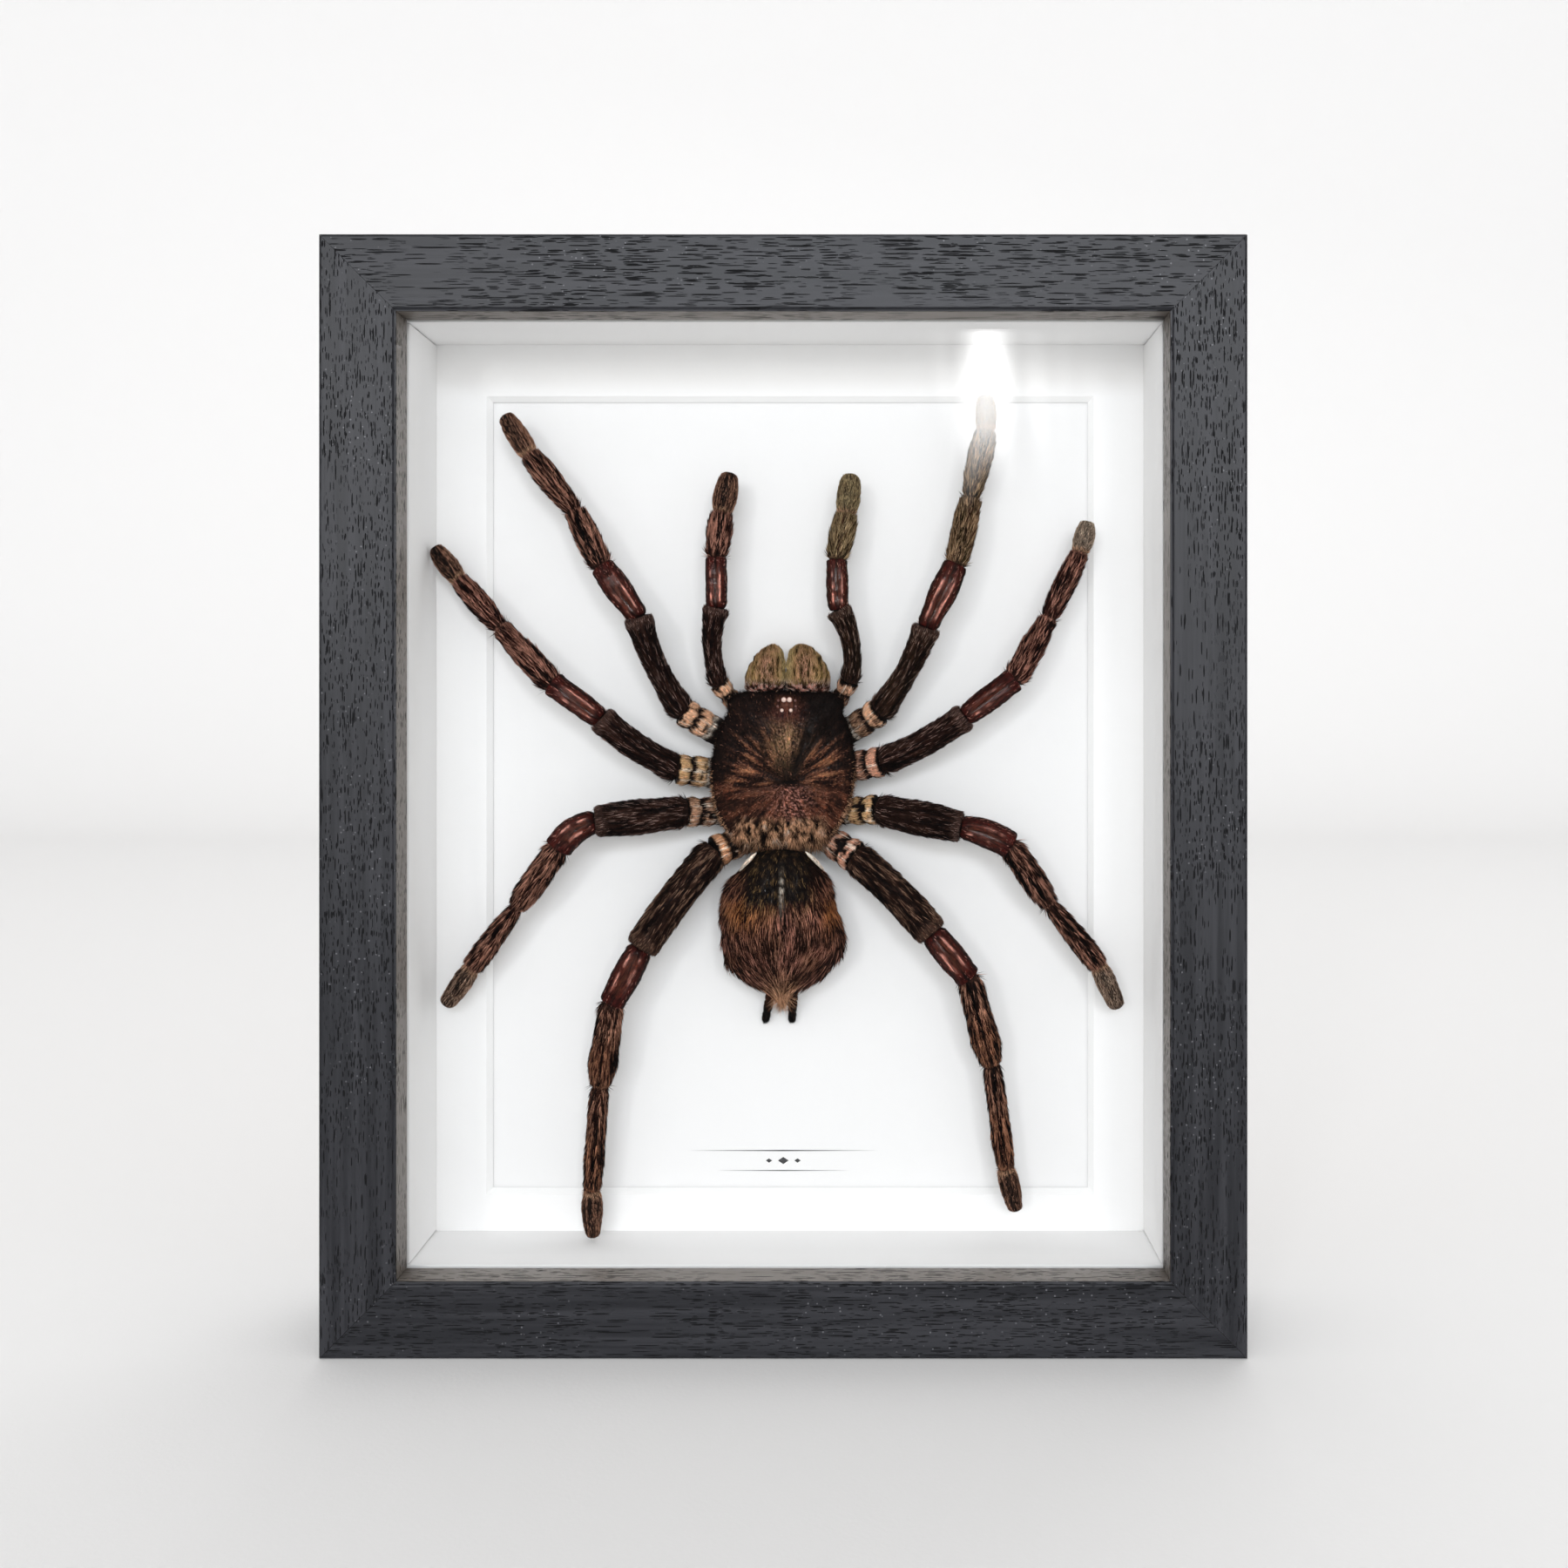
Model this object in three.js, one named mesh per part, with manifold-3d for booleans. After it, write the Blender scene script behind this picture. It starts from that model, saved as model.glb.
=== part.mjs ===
// A dried tarantula fixed in a glazed box frame, in millimetres.
// +Z is up, the glass faces -Y and +X is to the right of someone facing the glass.
// The origin is at the middle of the bottom edge, halfway through the depth.
import * as THREE from 'three';
import { mergeVertices } from 'three/addons/utils/BufferGeometryUtils.js';
import Module from 'manifold-3d';

const wasm = await Module();
wasm.setup();

// Frame: outside size, moulding section and what its rebate holds
const outerWidth = 237;
const outerHeight = 287;
const frameDepth = 45;
const faceWidth = 19.8;
const lipDepth = 9;
const lipOverhang = 3.2;
const edgeRound = 0.9;
const sightStep = 0.5;
const fitGap = 0.3;
const glassThickness = 2;
const spacerThickness = 2.9;
const cavityDepth = 23.7;
const matThickness = 1.5;
const boardThickness = 3;
const backThickness = 2.5;
const cutOver = 1;

// Mat opening at its back edge; the cut leans outwards by the mat's thickness
const windowWidth = 166.6;
const windowHeight = 220;
const windowDrop = 2.1;

// Back fittings
const pointWidth = 8;
const pointLength = 13;
const pointThickness = 0.5;
const pointSunk = 5;
const pointOffsets = { wide: 55, tall: 75 };
const hanger = { width: 44, height: 9, thickness: 0.9, pad: 5, corner: 1.2 };
const teeth = { count: 9, depth: 1.6 };
const nail = { spread: 36, radius: 0.6, headRadius: 1.5, headThickness: 0.8, tip: 1.2, length: 10 };
const nailSides = 12;

// Spider: plan sizes across and along the body, and how far parts stand off the board
const bodyCentre = -1.4;
const carapaceCentre = 150.3;
const carapaceTop = 15.4;
const carapaceEdge = 10.9;
const carapaceBand = 0.5;
const carapaceOutline = [
  [0, 20.7],
  [12.5, 20.3],
  [16.4, 15],
  [19, 8],
  [19.7, 0],
  [18.6, -8],
  [14.6, -15],
  [8, -19.6],
  [0, -20.7],
];
const sternumShare = 0.66;
const abdomen = { centre: 108.7, across: 17, along: 19.9, thick: 9.4 };
const chelicera = { centre: 177.3, lift: 8, along: 5.9, thick: 6 };
const cheliceraPlans = {
  chelicera_left: { x: -6.4, across: 5.1 },
  chelicera_right: { x: 5.4, across: 5.6 },
};
const spinneretPlans = {
  spinneret_left: { from: [-4.9, 88.2], to: [-7, 78.1] },
  spinneret_right: { from: [1.1, 88.2], to: [0.5, 78.1] },
};
const spinneretLift = { from: 4.5, to: 2.5 };
const spinneretRadii = [1.1, 1.3, 0.9];

// A limb runs out from its hip: each span has a length and a heading in degrees from +X towards +Z
const legPlans = {
  leg_left_1: {
    hip: [-17, 157.4],
    lengths: [14.2, 28.1, 17, 16.8, 20.4, 13],
    headings: [148, 114, 126, 117, 129, 122],
  },
  leg_left_2: {
    hip: [-17.4, 147.4],
    lengths: [13.4, 24.5, 16.1, 21, 17.8, 11.4],
    headings: [173, 145, 144, 134, 132, 127],
  },
  leg_left_3: {
    hip: [-17.4, 137.1],
    lengths: [10.7, 24.2, 12.4, 20.1, 21.1, 12.9],
    headings: [179, 185, 216, 234, 233, 235],
  },
  leg_left_4: {
    hip: [-11.5, 129.5],
    lengths: [9.5, 32.1, 16.9, 23.3, 29.2, 13.1],
    headings: [199, 233, 242, 261, 265, 271],
  },
  leg_right_1: {
    hip: [14.1, 158.1],
    lengths: [12.8, 26.2, 18.8, 18.4, 19.4, 9.9],
    headings: [32, 61, 65, 77, 77, 91],
  },
  leg_right_2: {
    hip: [13.8, 148.9],
    lengths: [12.1, 25.7, 16.6, 18.9, 20.3, 9],
    headings: [11, 29, 37, 60, 64, 75],
  },
  leg_right_3: {
    hip: [14, 137.1],
    lengths: [10.5, 23, 14.2, 19.5, 21.9, 13],
    headings: [5, -11, -21, -56, -51, -66],
  },
  leg_right_4: {
    hip: [8.7, 130.7],
    lengths: [11.2, 29.1, 15.5, 24.9, 29.1, 12.2],
    headings: [-31, -44, -51, -75, -82, -77],
  },
};
const palpPlans = {
  palp_left: {
    hip: [-14.7, 166.6],
    lengths: [7.3, 20.8, 13.6, 12.2, 11.6],
    headings: [127, 91, 91, 83, 80],
  },
  palp_right: {
    hip: [12.9, 166.6],
    lengths: [7.6, 19.7, 13.6, 12.6, 11.5],
    headings: [60, 99, 92, 78, 83],
  },
};
// Heights of the joints over the board, hip to tip, and start, middle and end radii of each span
const legLifts = [4.9, 9.2, 14.4, 14, 11.2, 9.6, 9];
const legRadii = [
  [3.4, 3.8, 4],
  [4, 3.9, 4.2],
  [3.5, 4.1, 3.5],
  [3.2, 3.7, 2.9],
  [2.5, 3.1, 2.7],
  [2.5, 3.1, 1.3],
];
const palpLifts = [5.4, 9, 12.5, 12, 10.2, 9];
const palpRadii = [
  [2.5, 2.7, 2.8],
  [2.7, 2.5, 3.4],
  [2.9, 3.3, 2.9],
  [2.8, 3.4, 2.8],
  [2.6, 3.3, 1.2],
];
const ballFacets = { abdomen: [20, 12], chelicera: [14, 10] };
const limbSides = 8;
const jointOverlap = 0.8;

// Worked out from the above: depths are measured back from the front face
const rebateStart = faceWidth - lipOverhang;
const openWidth = outerWidth - 2 * rebateStart;
const openHeight = outerHeight - 2 * rebateStart;
const sheetWidth = openWidth - 2 * fitGap;
const sheetHeight = openHeight - 2 * fitGap;
const glassStart = lipDepth + fitGap;
const spacerStart = glassStart + glassThickness + fitGap;
const matStart = spacerStart + cavityDepth + fitGap;
const boardStart = matStart + matThickness + fitGap;
const backStart = boardStart + boardThickness + fitGap;
const pointStart = backStart + backThickness + fitGap;
const middleHeight = outerHeight / 2;

const woodFinish = finish(0x3b3b40, 0.6, 0);
const glassFinish = finish(0xf4f8f7, 0.03, 0);
const spacerFinish = finish(0xefefec, 0.75, 0);
const matFinish = finish(0xf4f4f2, 0.85, 0);
const boardFinish = finish(0xf7f7f6, 0.85, 0);
const fibreboardFinish = finish(0x9a7a55, 0.9, 0);
const steelFinish = finish(0xa9abad, 0.35, 0.9);
const cuticleFinish = finish(0x35241c, 0.6, 0);
const hairFinish = finish(0x7a6a3c, 0.85, 0);

const part = new THREE.Group();
buildRails();
buildSheets();
buildSpacers();
buildPoints();
buildHanger();
buildBody();
buildLimbs();

export default part;

function finish(colour, roughness, metalness) {
  return new THREE.MeshStandardMaterial({ color: colour, roughness, metalness });
}

function addMesh(name, geometry, material) {
  const mesh = new THREE.Mesh(geometry, material);
  mesh.name = name;
  part.add(mesh);
  return mesh;
}

// y of a plane that lies this far behind the front face
function behindFront(depth) {
  return depth - frameDepth / 2;
}

// y of a point that stands this far off the board, towards the glass
function offBoard(lift) {
  return behindFront(boardStart - lift);
}

function toSolid(geometry) {
  const bare = geometry.clone();
  bare.deleteAttribute('normal');
  bare.deleteAttribute('uv');
  const merged = mergeVertices(bare, 1e-4);
  return new wasm.Manifold(
    new wasm.Mesh({
      numProp: 3,
      vertProperties: merged.attributes.position.array,
      triVerts: new Uint32Array(merged.index.array),
    }),
  );
}

function toGeometry(solid) {
  const mesh = solid.getMesh();
  const geometry = new THREE.BufferGeometry();
  geometry.setAttribute('position', new THREE.BufferAttribute(mesh.vertProperties, 3));
  geometry.setIndex(new THREE.BufferAttribute(mesh.triVerts, 1));
  geometry.computeVertexNormals();
  return geometry;
}

function vectors(points) {
  return points.map(([x, y]) => new THREE.Vector2(x, y));
}

// Outline drawn in x and z, from one depth to another
function plate(points, fromDepth, toDepth) {
  const geometry = new THREE.ExtrudeGeometry(new THREE.Shape(vectors(points)), {
    depth: toDepth - fromDepth,
    bevelEnabled: false,
  });
  geometry.rotateX(Math.PI / 2);
  geometry.translate(0, behindFront(toDepth), 0);
  return geometry;
}

function boxBetween(low, high) {
  const size = high.map((value, axis) => value - low[axis]);
  const geometry = new THREE.BoxGeometry(...size);
  geometry.translate(...high.map((value, axis) => (value + low[axis]) / 2));
  return geometry;
}

// Moulding section: x runs inwards from the outer edge, y back from the front face
function railSection() {
  const section = new THREE.Shape();
  section.moveTo(edgeRound, 0);
  section.lineTo(faceWidth - 2 * sightStep, 0);
  section.lineTo(faceWidth - sightStep, sightStep);
  section.lineTo(faceWidth, sightStep);
  section.lineTo(faceWidth, lipDepth);
  section.lineTo(rebateStart, lipDepth);
  section.lineTo(rebateStart, frameDepth);
  section.lineTo(edgeRound, frameDepth);
  section.lineTo(0, frameDepth - edgeRound);
  section.lineTo(0, edgeRound);
  return section;
}

// A rail lies along x with its outer edge at z = 0 and grows inwards along +z
function railSolid(length) {
  const bar = new THREE.ExtrudeGeometry(railSection(), { depth: length, bevelEnabled: false });
  bar.translate(0, -frameDepth / 2, -length / 2);
  bar.applyMatrix4(
    new THREE.Matrix4().makeBasis(
      new THREE.Vector3(0, 0, 1),
      new THREE.Vector3(0, 1, 0),
      new THREE.Vector3(-1, 0, 0),
    ),
  );
  const outer = (length - fitGap) / 2;
  const reach = faceWidth + cutOver;
  const mitred = plate(
    [
      [-outer - cutOver, -cutOver],
      [outer + cutOver, -cutOver],
      [outer - reach, reach],
      [-outer + reach, reach],
    ],
    -cutOver,
    frameDepth + cutOver,
  );
  return toSolid(bar).intersect(toSolid(mitred));
}

function pointSlot(offset) {
  return boxBetween(
    [
      offset - pointWidth / 2 - fitGap,
      behindFront(pointStart - fitGap),
      rebateStart - pointSunk - fitGap,
    ],
    [
      offset + pointWidth / 2 + fitGap,
      behindFront(pointStart + pointThickness + fitGap),
      rebateStart + cutOver,
    ],
  );
}

function nailHole(offset, height) {
  const radius = nail.radius + fitGap;
  const hole = new THREE.CylinderGeometry(radius, radius, nail.length + 2 * cutOver, nailSides);
  hole.translate(offset, frameDepth / 2 - nail.length / 2 + cutOver, height);
  return hole;
}

function buildRails() {
  const places = [
    {
      name: 'rail_bottom',
      length: outerWidth,
      turn: 0,
      at: [0, 0],
      offset: pointOffsets.wide,
    },
    {
      name: 'rail_top',
      length: outerWidth,
      turn: Math.PI,
      at: [0, outerHeight],
      offset: pointOffsets.wide,
    },
    {
      name: 'rail_left',
      length: outerHeight,
      turn: Math.PI / 2,
      at: [-outerWidth / 2, middleHeight],
      offset: pointOffsets.tall,
    },
    {
      name: 'rail_right',
      length: outerHeight,
      turn: -Math.PI / 2,
      at: [outerWidth / 2, middleHeight],
      offset: pointOffsets.tall,
    },
  ];
  for (const place of places) {
    let solid = railSolid(place.length);
    for (const offset of [-place.offset, place.offset]) {
      solid = solid.subtract(toSolid(pointSlot(offset)));
    }
    if (place.name === 'rail_top') {
      for (const offset of [-nail.spread / 2, nail.spread / 2]) {
        solid = solid.subtract(toSolid(nailHole(offset, rebateStart / 2)));
      }
    }
    const mesh = addMesh(place.name, toGeometry(solid), woodFinish);
    mesh.rotation.y = place.turn;
    mesh.position.set(place.at[0], 0, place.at[1]);
  }
}

function sheet(thickness, start) {
  const halfWidth = sheetWidth / 2;
  return boxBetween(
    [-halfWidth, behindFront(start), middleHeight - sheetHeight / 2],
    [halfWidth, behindFront(start + thickness), middleHeight + sheetHeight / 2],
  );
}

// The opening's front edge is larger than its back edge all round, as a bevel cutter leaves it
function matSolid() {
  const cutter = new THREE.BoxGeometry(windowWidth, matThickness + 2 * cutOver, windowHeight);
  const corners = cutter.attributes.position;
  for (let i = 0; i < corners.count; i += 1) {
    const lean = corners.getY(i) < 0 ? matThickness + cutOver : -cutOver;
    corners.setX(i, corners.getX(i) + Math.sign(corners.getX(i)) * lean);
    corners.setZ(i, corners.getZ(i) + Math.sign(corners.getZ(i)) * lean);
  }
  cutter.translate(0, behindFront(matStart + matThickness / 2), middleHeight - windowDrop);
  return toSolid(sheet(matThickness, matStart)).subtract(toSolid(cutter));
}

function buildSheets() {
  addMesh('glass', sheet(glassThickness, glassStart), glassFinish);
  addMesh('mat', toGeometry(matSolid()), matFinish);
  addMesh('specimen_board', sheet(boardThickness, boardStart), boardFinish);
  addMesh('back_panel', sheet(backThickness, backStart), fibreboardFinish);
}

function buildSpacers() {
  const halfWidth = sheetWidth / 2;
  const lowest = middleHeight - sheetHeight / 2;
  const highest = middleHeight + sheetHeight / 2;
  const front = behindFront(spacerStart);
  const rear = behindFront(spacerStart + cavityDepth);
  const across = { spacer_bottom: lowest, spacer_top: highest - spacerThickness };
  for (const [name, z] of Object.entries(across)) {
    const strip = boxBetween([-halfWidth, front, z], [halfWidth, rear, z + spacerThickness]);
    addMesh(name, strip, spacerFinish);
  }
  const upright = { spacer_left: -halfWidth, spacer_right: halfWidth - spacerThickness };
  const inset = spacerThickness + fitGap;
  for (const [name, x] of Object.entries(upright)) {
    const strip = boxBetween([x, front, lowest + inset], [x + spacerThickness, rear, highest - inset]);
    addMesh(name, strip, spacerFinish);
  }
}

// A flat steel point: its sharp end is sunk in the rail, its square end lies over the back panel
function pointGeometry() {
  const half = pointWidth / 2;
  const outline = [
    [-half, -pointSunk + half],
    [0, -pointSunk],
    [half, -pointSunk + half],
    [half, pointLength - pointSunk],
    [-half, pointLength - pointSunk],
  ];
  return plate(outline, pointStart, pointStart + pointThickness);
}

function buildPoints() {
  const halfOpenWidth = openWidth / 2;
  const halfOpenHeight = openHeight / 2;
  const sides = [
    { side: 'bottom', turn: 0, offset: pointOffsets.wide, reach: halfOpenHeight },
    { side: 'top', turn: Math.PI, offset: pointOffsets.wide, reach: halfOpenHeight },
    { side: 'left', turn: Math.PI / 2, offset: pointOffsets.tall, reach: halfOpenWidth },
    { side: 'right', turn: -Math.PI / 2, offset: pointOffsets.tall, reach: halfOpenWidth },
  ];
  for (const { side, turn, offset, reach } of sides) {
    const holder = new THREE.Group();
    holder.position.z = middleHeight;
    holder.rotation.y = turn;
    part.add(holder);
    [-offset, offset].forEach((along, index) => {
      const point = addMesh(`point_${side}_${index + 1}`, pointGeometry(), steelFinish);
      point.position.set(along, 0, -reach);
      holder.add(point);
    });
  }
}

// Sawtooth strip with a nail through each end, on the back of the top rail
function hangerOutline() {
  const { height, pad, corner } = hanger;
  const half = hanger.width / 2;
  const toothWidth = (hanger.width - 2 * pad) / teeth.count;
  const points = [
    [-half, corner],
    [-half + corner, 0],
    [-half + pad, 0],
  ];
  for (let tooth = 0; tooth < teeth.count; tooth += 1) {
    const x = -half + pad + tooth * toothWidth;
    points.push([x + toothWidth / 2, teeth.depth], [x + toothWidth, 0]);
  }
  points.push(
    [half - corner, 0],
    [half, corner],
    [half, height - corner],
    [half - corner, height],
    [-half + corner, height],
    [-half, height - corner],
  );
  return points;
}

function buildHanger() {
  const front = frameDepth + fitGap;
  const middle = outerHeight - rebateStart / 2;
  let strip = toSolid(plate(hangerOutline(), front, front + hanger.thickness));
  for (const offset of [-nail.spread / 2, nail.spread / 2]) {
    strip = strip.subtract(toSolid(nailHole(offset, hanger.height / 2)));
  }
  addMesh('hanger', toGeometry(strip), steelFinish).position.z = middle - hanger.height / 2;
  const headStart = front + hanger.thickness + fitGap;
  const top = nail.length + nail.headThickness;
  const profile = [
    [0, 0],
    [nail.radius, nail.tip],
    [nail.radius, nail.length],
    [nail.headRadius, nail.length],
    [nail.headRadius, nail.length + nail.headThickness / 2],
    [nail.headRadius * 0.6, top],
    [0, top],
  ];
  ['left', 'right'].forEach((side, index) => {
    const lathe = new THREE.LatheGeometry(vectors(profile), nailSides);
    const mesh = addMesh(`nail_${side}`, lathe, steelFinish);
    mesh.position.set((index - 0.5) * nail.spread, behindFront(headStart - nail.length), middle);
  });
}

// Rounded shield with a narrower underside that the leg bases tuck against
function cephalothoraxSolid() {
  const other = carapaceOutline.slice(1, -1).reverse();
  const outline = [...carapaceOutline, ...other.map(([x, z]) => [-x, z])];
  const bevel = carapaceTop - carapaceEdge - carapaceBand;
  const shield = new THREE.ExtrudeGeometry(new THREE.Shape(vectors(outline)), {
    depth: carapaceBand,
    bevelThickness: bevel,
    bevelSize: bevel,
    bevelOffset: -bevel,
    bevelSegments: 3,
  });
  shield.rotateX(Math.PI / 2);
  shield.translate(bodyCentre, offBoard(carapaceEdge - bevel / 2), carapaceCentre);
  const lower = outline.map(([x, z]) => [x * sternumShare + bodyCentre, z * sternumShare + carapaceCentre]);
  const underside = plate(lower, boardStart - carapaceEdge - cutOver, boardStart - fitGap);
  const upperHalf = boxBetween(
    [-openWidth / 2, offBoard(2 * carapaceTop), 0],
    [openWidth / 2, offBoard(carapaceEdge), outerHeight],
  );
  return toSolid(shield).intersect(toSolid(upperHalf)).add(toSolid(underside));
}

function ellipsoid(across, thick, along, facets) {
  const geometry = new THREE.SphereGeometry(1, ...facets);
  geometry.rotateX(Math.PI / 2);
  geometry.scale(across, thick, along);
  return geometry;
}

function buildBody() {
  addMesh('cephalothorax', toGeometry(cephalothoraxSolid()), cuticleFinish);
  const belly = ellipsoid(abdomen.across, abdomen.thick, abdomen.along, ballFacets.abdomen);
  const bellyMesh = addMesh('abdomen', belly, cuticleFinish);
  bellyMesh.position.set(bodyCentre, offBoard(abdomen.thick + fitGap), abdomen.centre);
  for (const [name, plan] of Object.entries(cheliceraPlans)) {
    const lobe = ellipsoid(plan.across, chelicera.thick, chelicera.along, ballFacets.chelicera);
    const mesh = addMesh(name, lobe, hairFinish);
    mesh.position.set(plan.x, offBoard(chelicera.lift), chelicera.centre);
  }
  for (const [name, plan] of Object.entries(spinneretPlans)) {
    const from = new THREE.Vector3(plan.from[0], offBoard(spinneretLift.from), plan.from[1]);
    const to = new THREE.Vector3(plan.to[0], offBoard(spinneretLift.to), plan.to[1]);
    addMesh(name, toGeometry(spanSolid(from, to, spinneretRadii, 0)), cuticleFinish);
  }
}

// One spindle between two joints, run on past both so that the next one joins it
function spanSolid(from, to, radii, overlap) {
  const direction = to.clone().sub(from);
  const length = direction.length() + 2 * overlap;
  direction.normalize();
  const profile = [
    [0, 0],
    [radii[0], 0],
    [radii[1], length / 2],
    [radii[2], length],
    [0, length],
  ];
  const spindle = new THREE.LatheGeometry(vectors(profile), limbSides);
  spindle.translate(0, -overlap, 0);
  spindle.applyQuaternion(
    new THREE.Quaternion().setFromUnitVectors(new THREE.Vector3(0, 1, 0), direction),
  );
  spindle.translate(from.x, from.y, from.z);
  return toSolid(spindle);
}

function limbJoints(plan, lifts) {
  let [x, z] = plan.hip;
  const joints = [new THREE.Vector3(x, offBoard(lifts[0]), z)];
  plan.lengths.forEach((length, index) => {
    const heading = THREE.MathUtils.degToRad(plan.headings[index]);
    x += length * Math.cos(heading);
    z += length * Math.sin(heading);
    joints.push(new THREE.Vector3(x, offBoard(lifts[index + 1]), z));
  });
  return joints;
}

function limbSolid(plan, lifts, radii) {
  const joints = limbJoints(plan, lifts);
  const last = radii.length - 1;
  return radii.reduce((limb, spanRadii, index) => {
    const overlap = index === 0 || index === last ? 0 : jointOverlap;
    const span = spanSolid(joints[index], joints[index + 1], spanRadii, overlap);
    return limb ? limb.add(span) : span;
  }, null);
}

function buildLimbs() {
  for (const [name, plan] of Object.entries(legPlans)) {
    addMesh(name, toGeometry(limbSolid(plan, legLifts, legRadii)), cuticleFinish);
  }
  for (const [name, plan] of Object.entries(palpPlans)) {
    addMesh(name, toGeometry(limbSolid(plan, palpLifts, palpRadii)), cuticleFinish);
  }
}
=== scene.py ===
import math

import bmesh
import bpy
import numpy as np
from mathutils import Matrix, Vector, noise


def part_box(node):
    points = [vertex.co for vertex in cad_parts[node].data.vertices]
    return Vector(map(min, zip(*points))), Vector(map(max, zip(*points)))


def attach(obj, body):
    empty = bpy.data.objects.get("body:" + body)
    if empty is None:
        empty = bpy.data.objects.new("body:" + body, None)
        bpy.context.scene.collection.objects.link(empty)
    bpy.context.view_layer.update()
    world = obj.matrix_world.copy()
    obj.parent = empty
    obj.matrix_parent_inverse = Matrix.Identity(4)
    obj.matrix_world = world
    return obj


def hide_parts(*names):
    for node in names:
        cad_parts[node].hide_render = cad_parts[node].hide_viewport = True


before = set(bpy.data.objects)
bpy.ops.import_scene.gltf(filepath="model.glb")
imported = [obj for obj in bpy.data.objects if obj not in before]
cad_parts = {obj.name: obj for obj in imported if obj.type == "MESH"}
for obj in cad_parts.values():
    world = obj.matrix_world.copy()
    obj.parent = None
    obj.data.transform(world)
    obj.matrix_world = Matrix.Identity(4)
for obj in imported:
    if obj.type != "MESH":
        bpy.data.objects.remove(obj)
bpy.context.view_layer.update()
mm = 0.001
weldDistance = 2e-6  # metres


cameraView = {  # metres, degrees and the shift as a share of the picture's side
    "eye": (0.0202, -0.3855, 0.1689),
    "lens": 32.71,
    "sensor": 36,
    "shift": (-0.05, -0.0556),
}


def placeCamera():
    data = bpy.data.cameras.new("camera")
    data.lens = cameraView["lens"]
    data.sensor_width = cameraView["sensor"]
    data.shift_x, data.shift_y = cameraView["shift"]
    data.clip_start = 0.01
    camera = bpy.data.objects.new("camera", data)
    camera.location = cameraView["eye"]
    camera.rotation_euler = (math.pi / 2, 0, 0)  # looks along +Y, straight at the glass
    bpy.context.scene.collection.objects.link(camera)
    bpy.context.scene.camera = camera


studio = {
    "aim": (0, 0, 0.145),
    "world": (1.0, 0.99, 0.98),
    "worldStrength": 0.78,
    "mirroredStrength": (0.03, 0.6),  # what polished surfaces see of the world, in front of the glass and behind it
    "coolLight": (0.88, 0.93, 1.0),
    "floorColour": (0.86, 0.855, 0.85),
    "floorReach": 40.0,
    "wallHeight": 7.0,
    "coveStart": 1.3,
    "coveRadius": 0.7,
    "softboxes": {  # place in metres, width, height, watts
        "key": ((-2.45, -6.0, 1.45), 0.8, 1.1, 54),
        "high": ((0.1, -6.0, 2.35), 3.4, 0.9, 108),
        "right": ((1.95, -6.0, 1.3), 0.8, 1.2, 39),
        "fill": ((-0.6, -6.0, 0.8), 3.0, 1.4, 32),
        "back": ((0.3, 0.9, 1.7), 1.2, 0.8, 5),
        "window": ((0.15, -1.0, 0.44), 0.2, 0.25, 0.6),  # its faint image lies on the glass, top right
    },
}


def placeLights():
    for name, (place, width, height, watts) in studio["softboxes"].items():
        data = bpy.data.lights.new(name, "AREA")
        data.shape = "RECTANGLE"
        data.size, data.size_y = width, height
        data.energy = watts
        data.color = studio["coolLight"] if name == "high" else (1, 1, 1)
        lamp = bpy.data.objects.new(name, data)
        lamp.location = place
        towards = Vector(studio["aim"]) - Vector(place)
        lamp.rotation_euler = towards.to_track_quat("-Z", "Y").to_euler()
        lamp.visible_camera = False
        lamp.visible_glossy = lamp.visible_transmission = name != "fill"  # no image of it on the glass
        bpy.context.scene.collection.objects.link(lamp)
        if name == "window":
            veilWindow(data)
    world = bpy.data.worlds.new("world")
    bpy.context.scene.world = world
    world.use_nodes = True
    tree = world.node_tree
    background = tree.nodes["Background"]
    background.inputs["Color"].default_value = (*studio["world"], 1)
    rays = tree.nodes.new("ShaderNodeLightPath")
    blend = tree.nodes.new("ShaderNodeMapRange")
    blend.inputs["To Min"].default_value = studio["worldStrength"]
    heading = addNode(tree, "SeparateXYZ", {"Vector": addNode(tree, "TexCoord").outputs["Generated"]})
    tree.links.new(ranged(tree, heading.outputs["Y"], -0.05, 0.25, *studio["mirroredStrength"]), blend.inputs["To Max"])
    mirrored = calculate(tree, "MAXIMUM", rays.outputs["Is Glossy Ray"], rays.outputs["Is Transmission Ray"])
    tree.links.new(mirrored, blend.inputs["Value"])
    tree.links.new(blend.outputs["Result"], background.inputs["Strength"])
    bpy.context.scene.view_settings.view_transform = "Standard"


windowVeil = {  # shares of the softbox's width and height, and strengths
    "middle": 0.45,
    "halfWidth": 0.2,
    "streak": 5.2,
    "wisps": 0.7,
    "bottomFade": (0.16, 0.6),
    "topFade": (0.95, 0.6),
}


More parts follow.
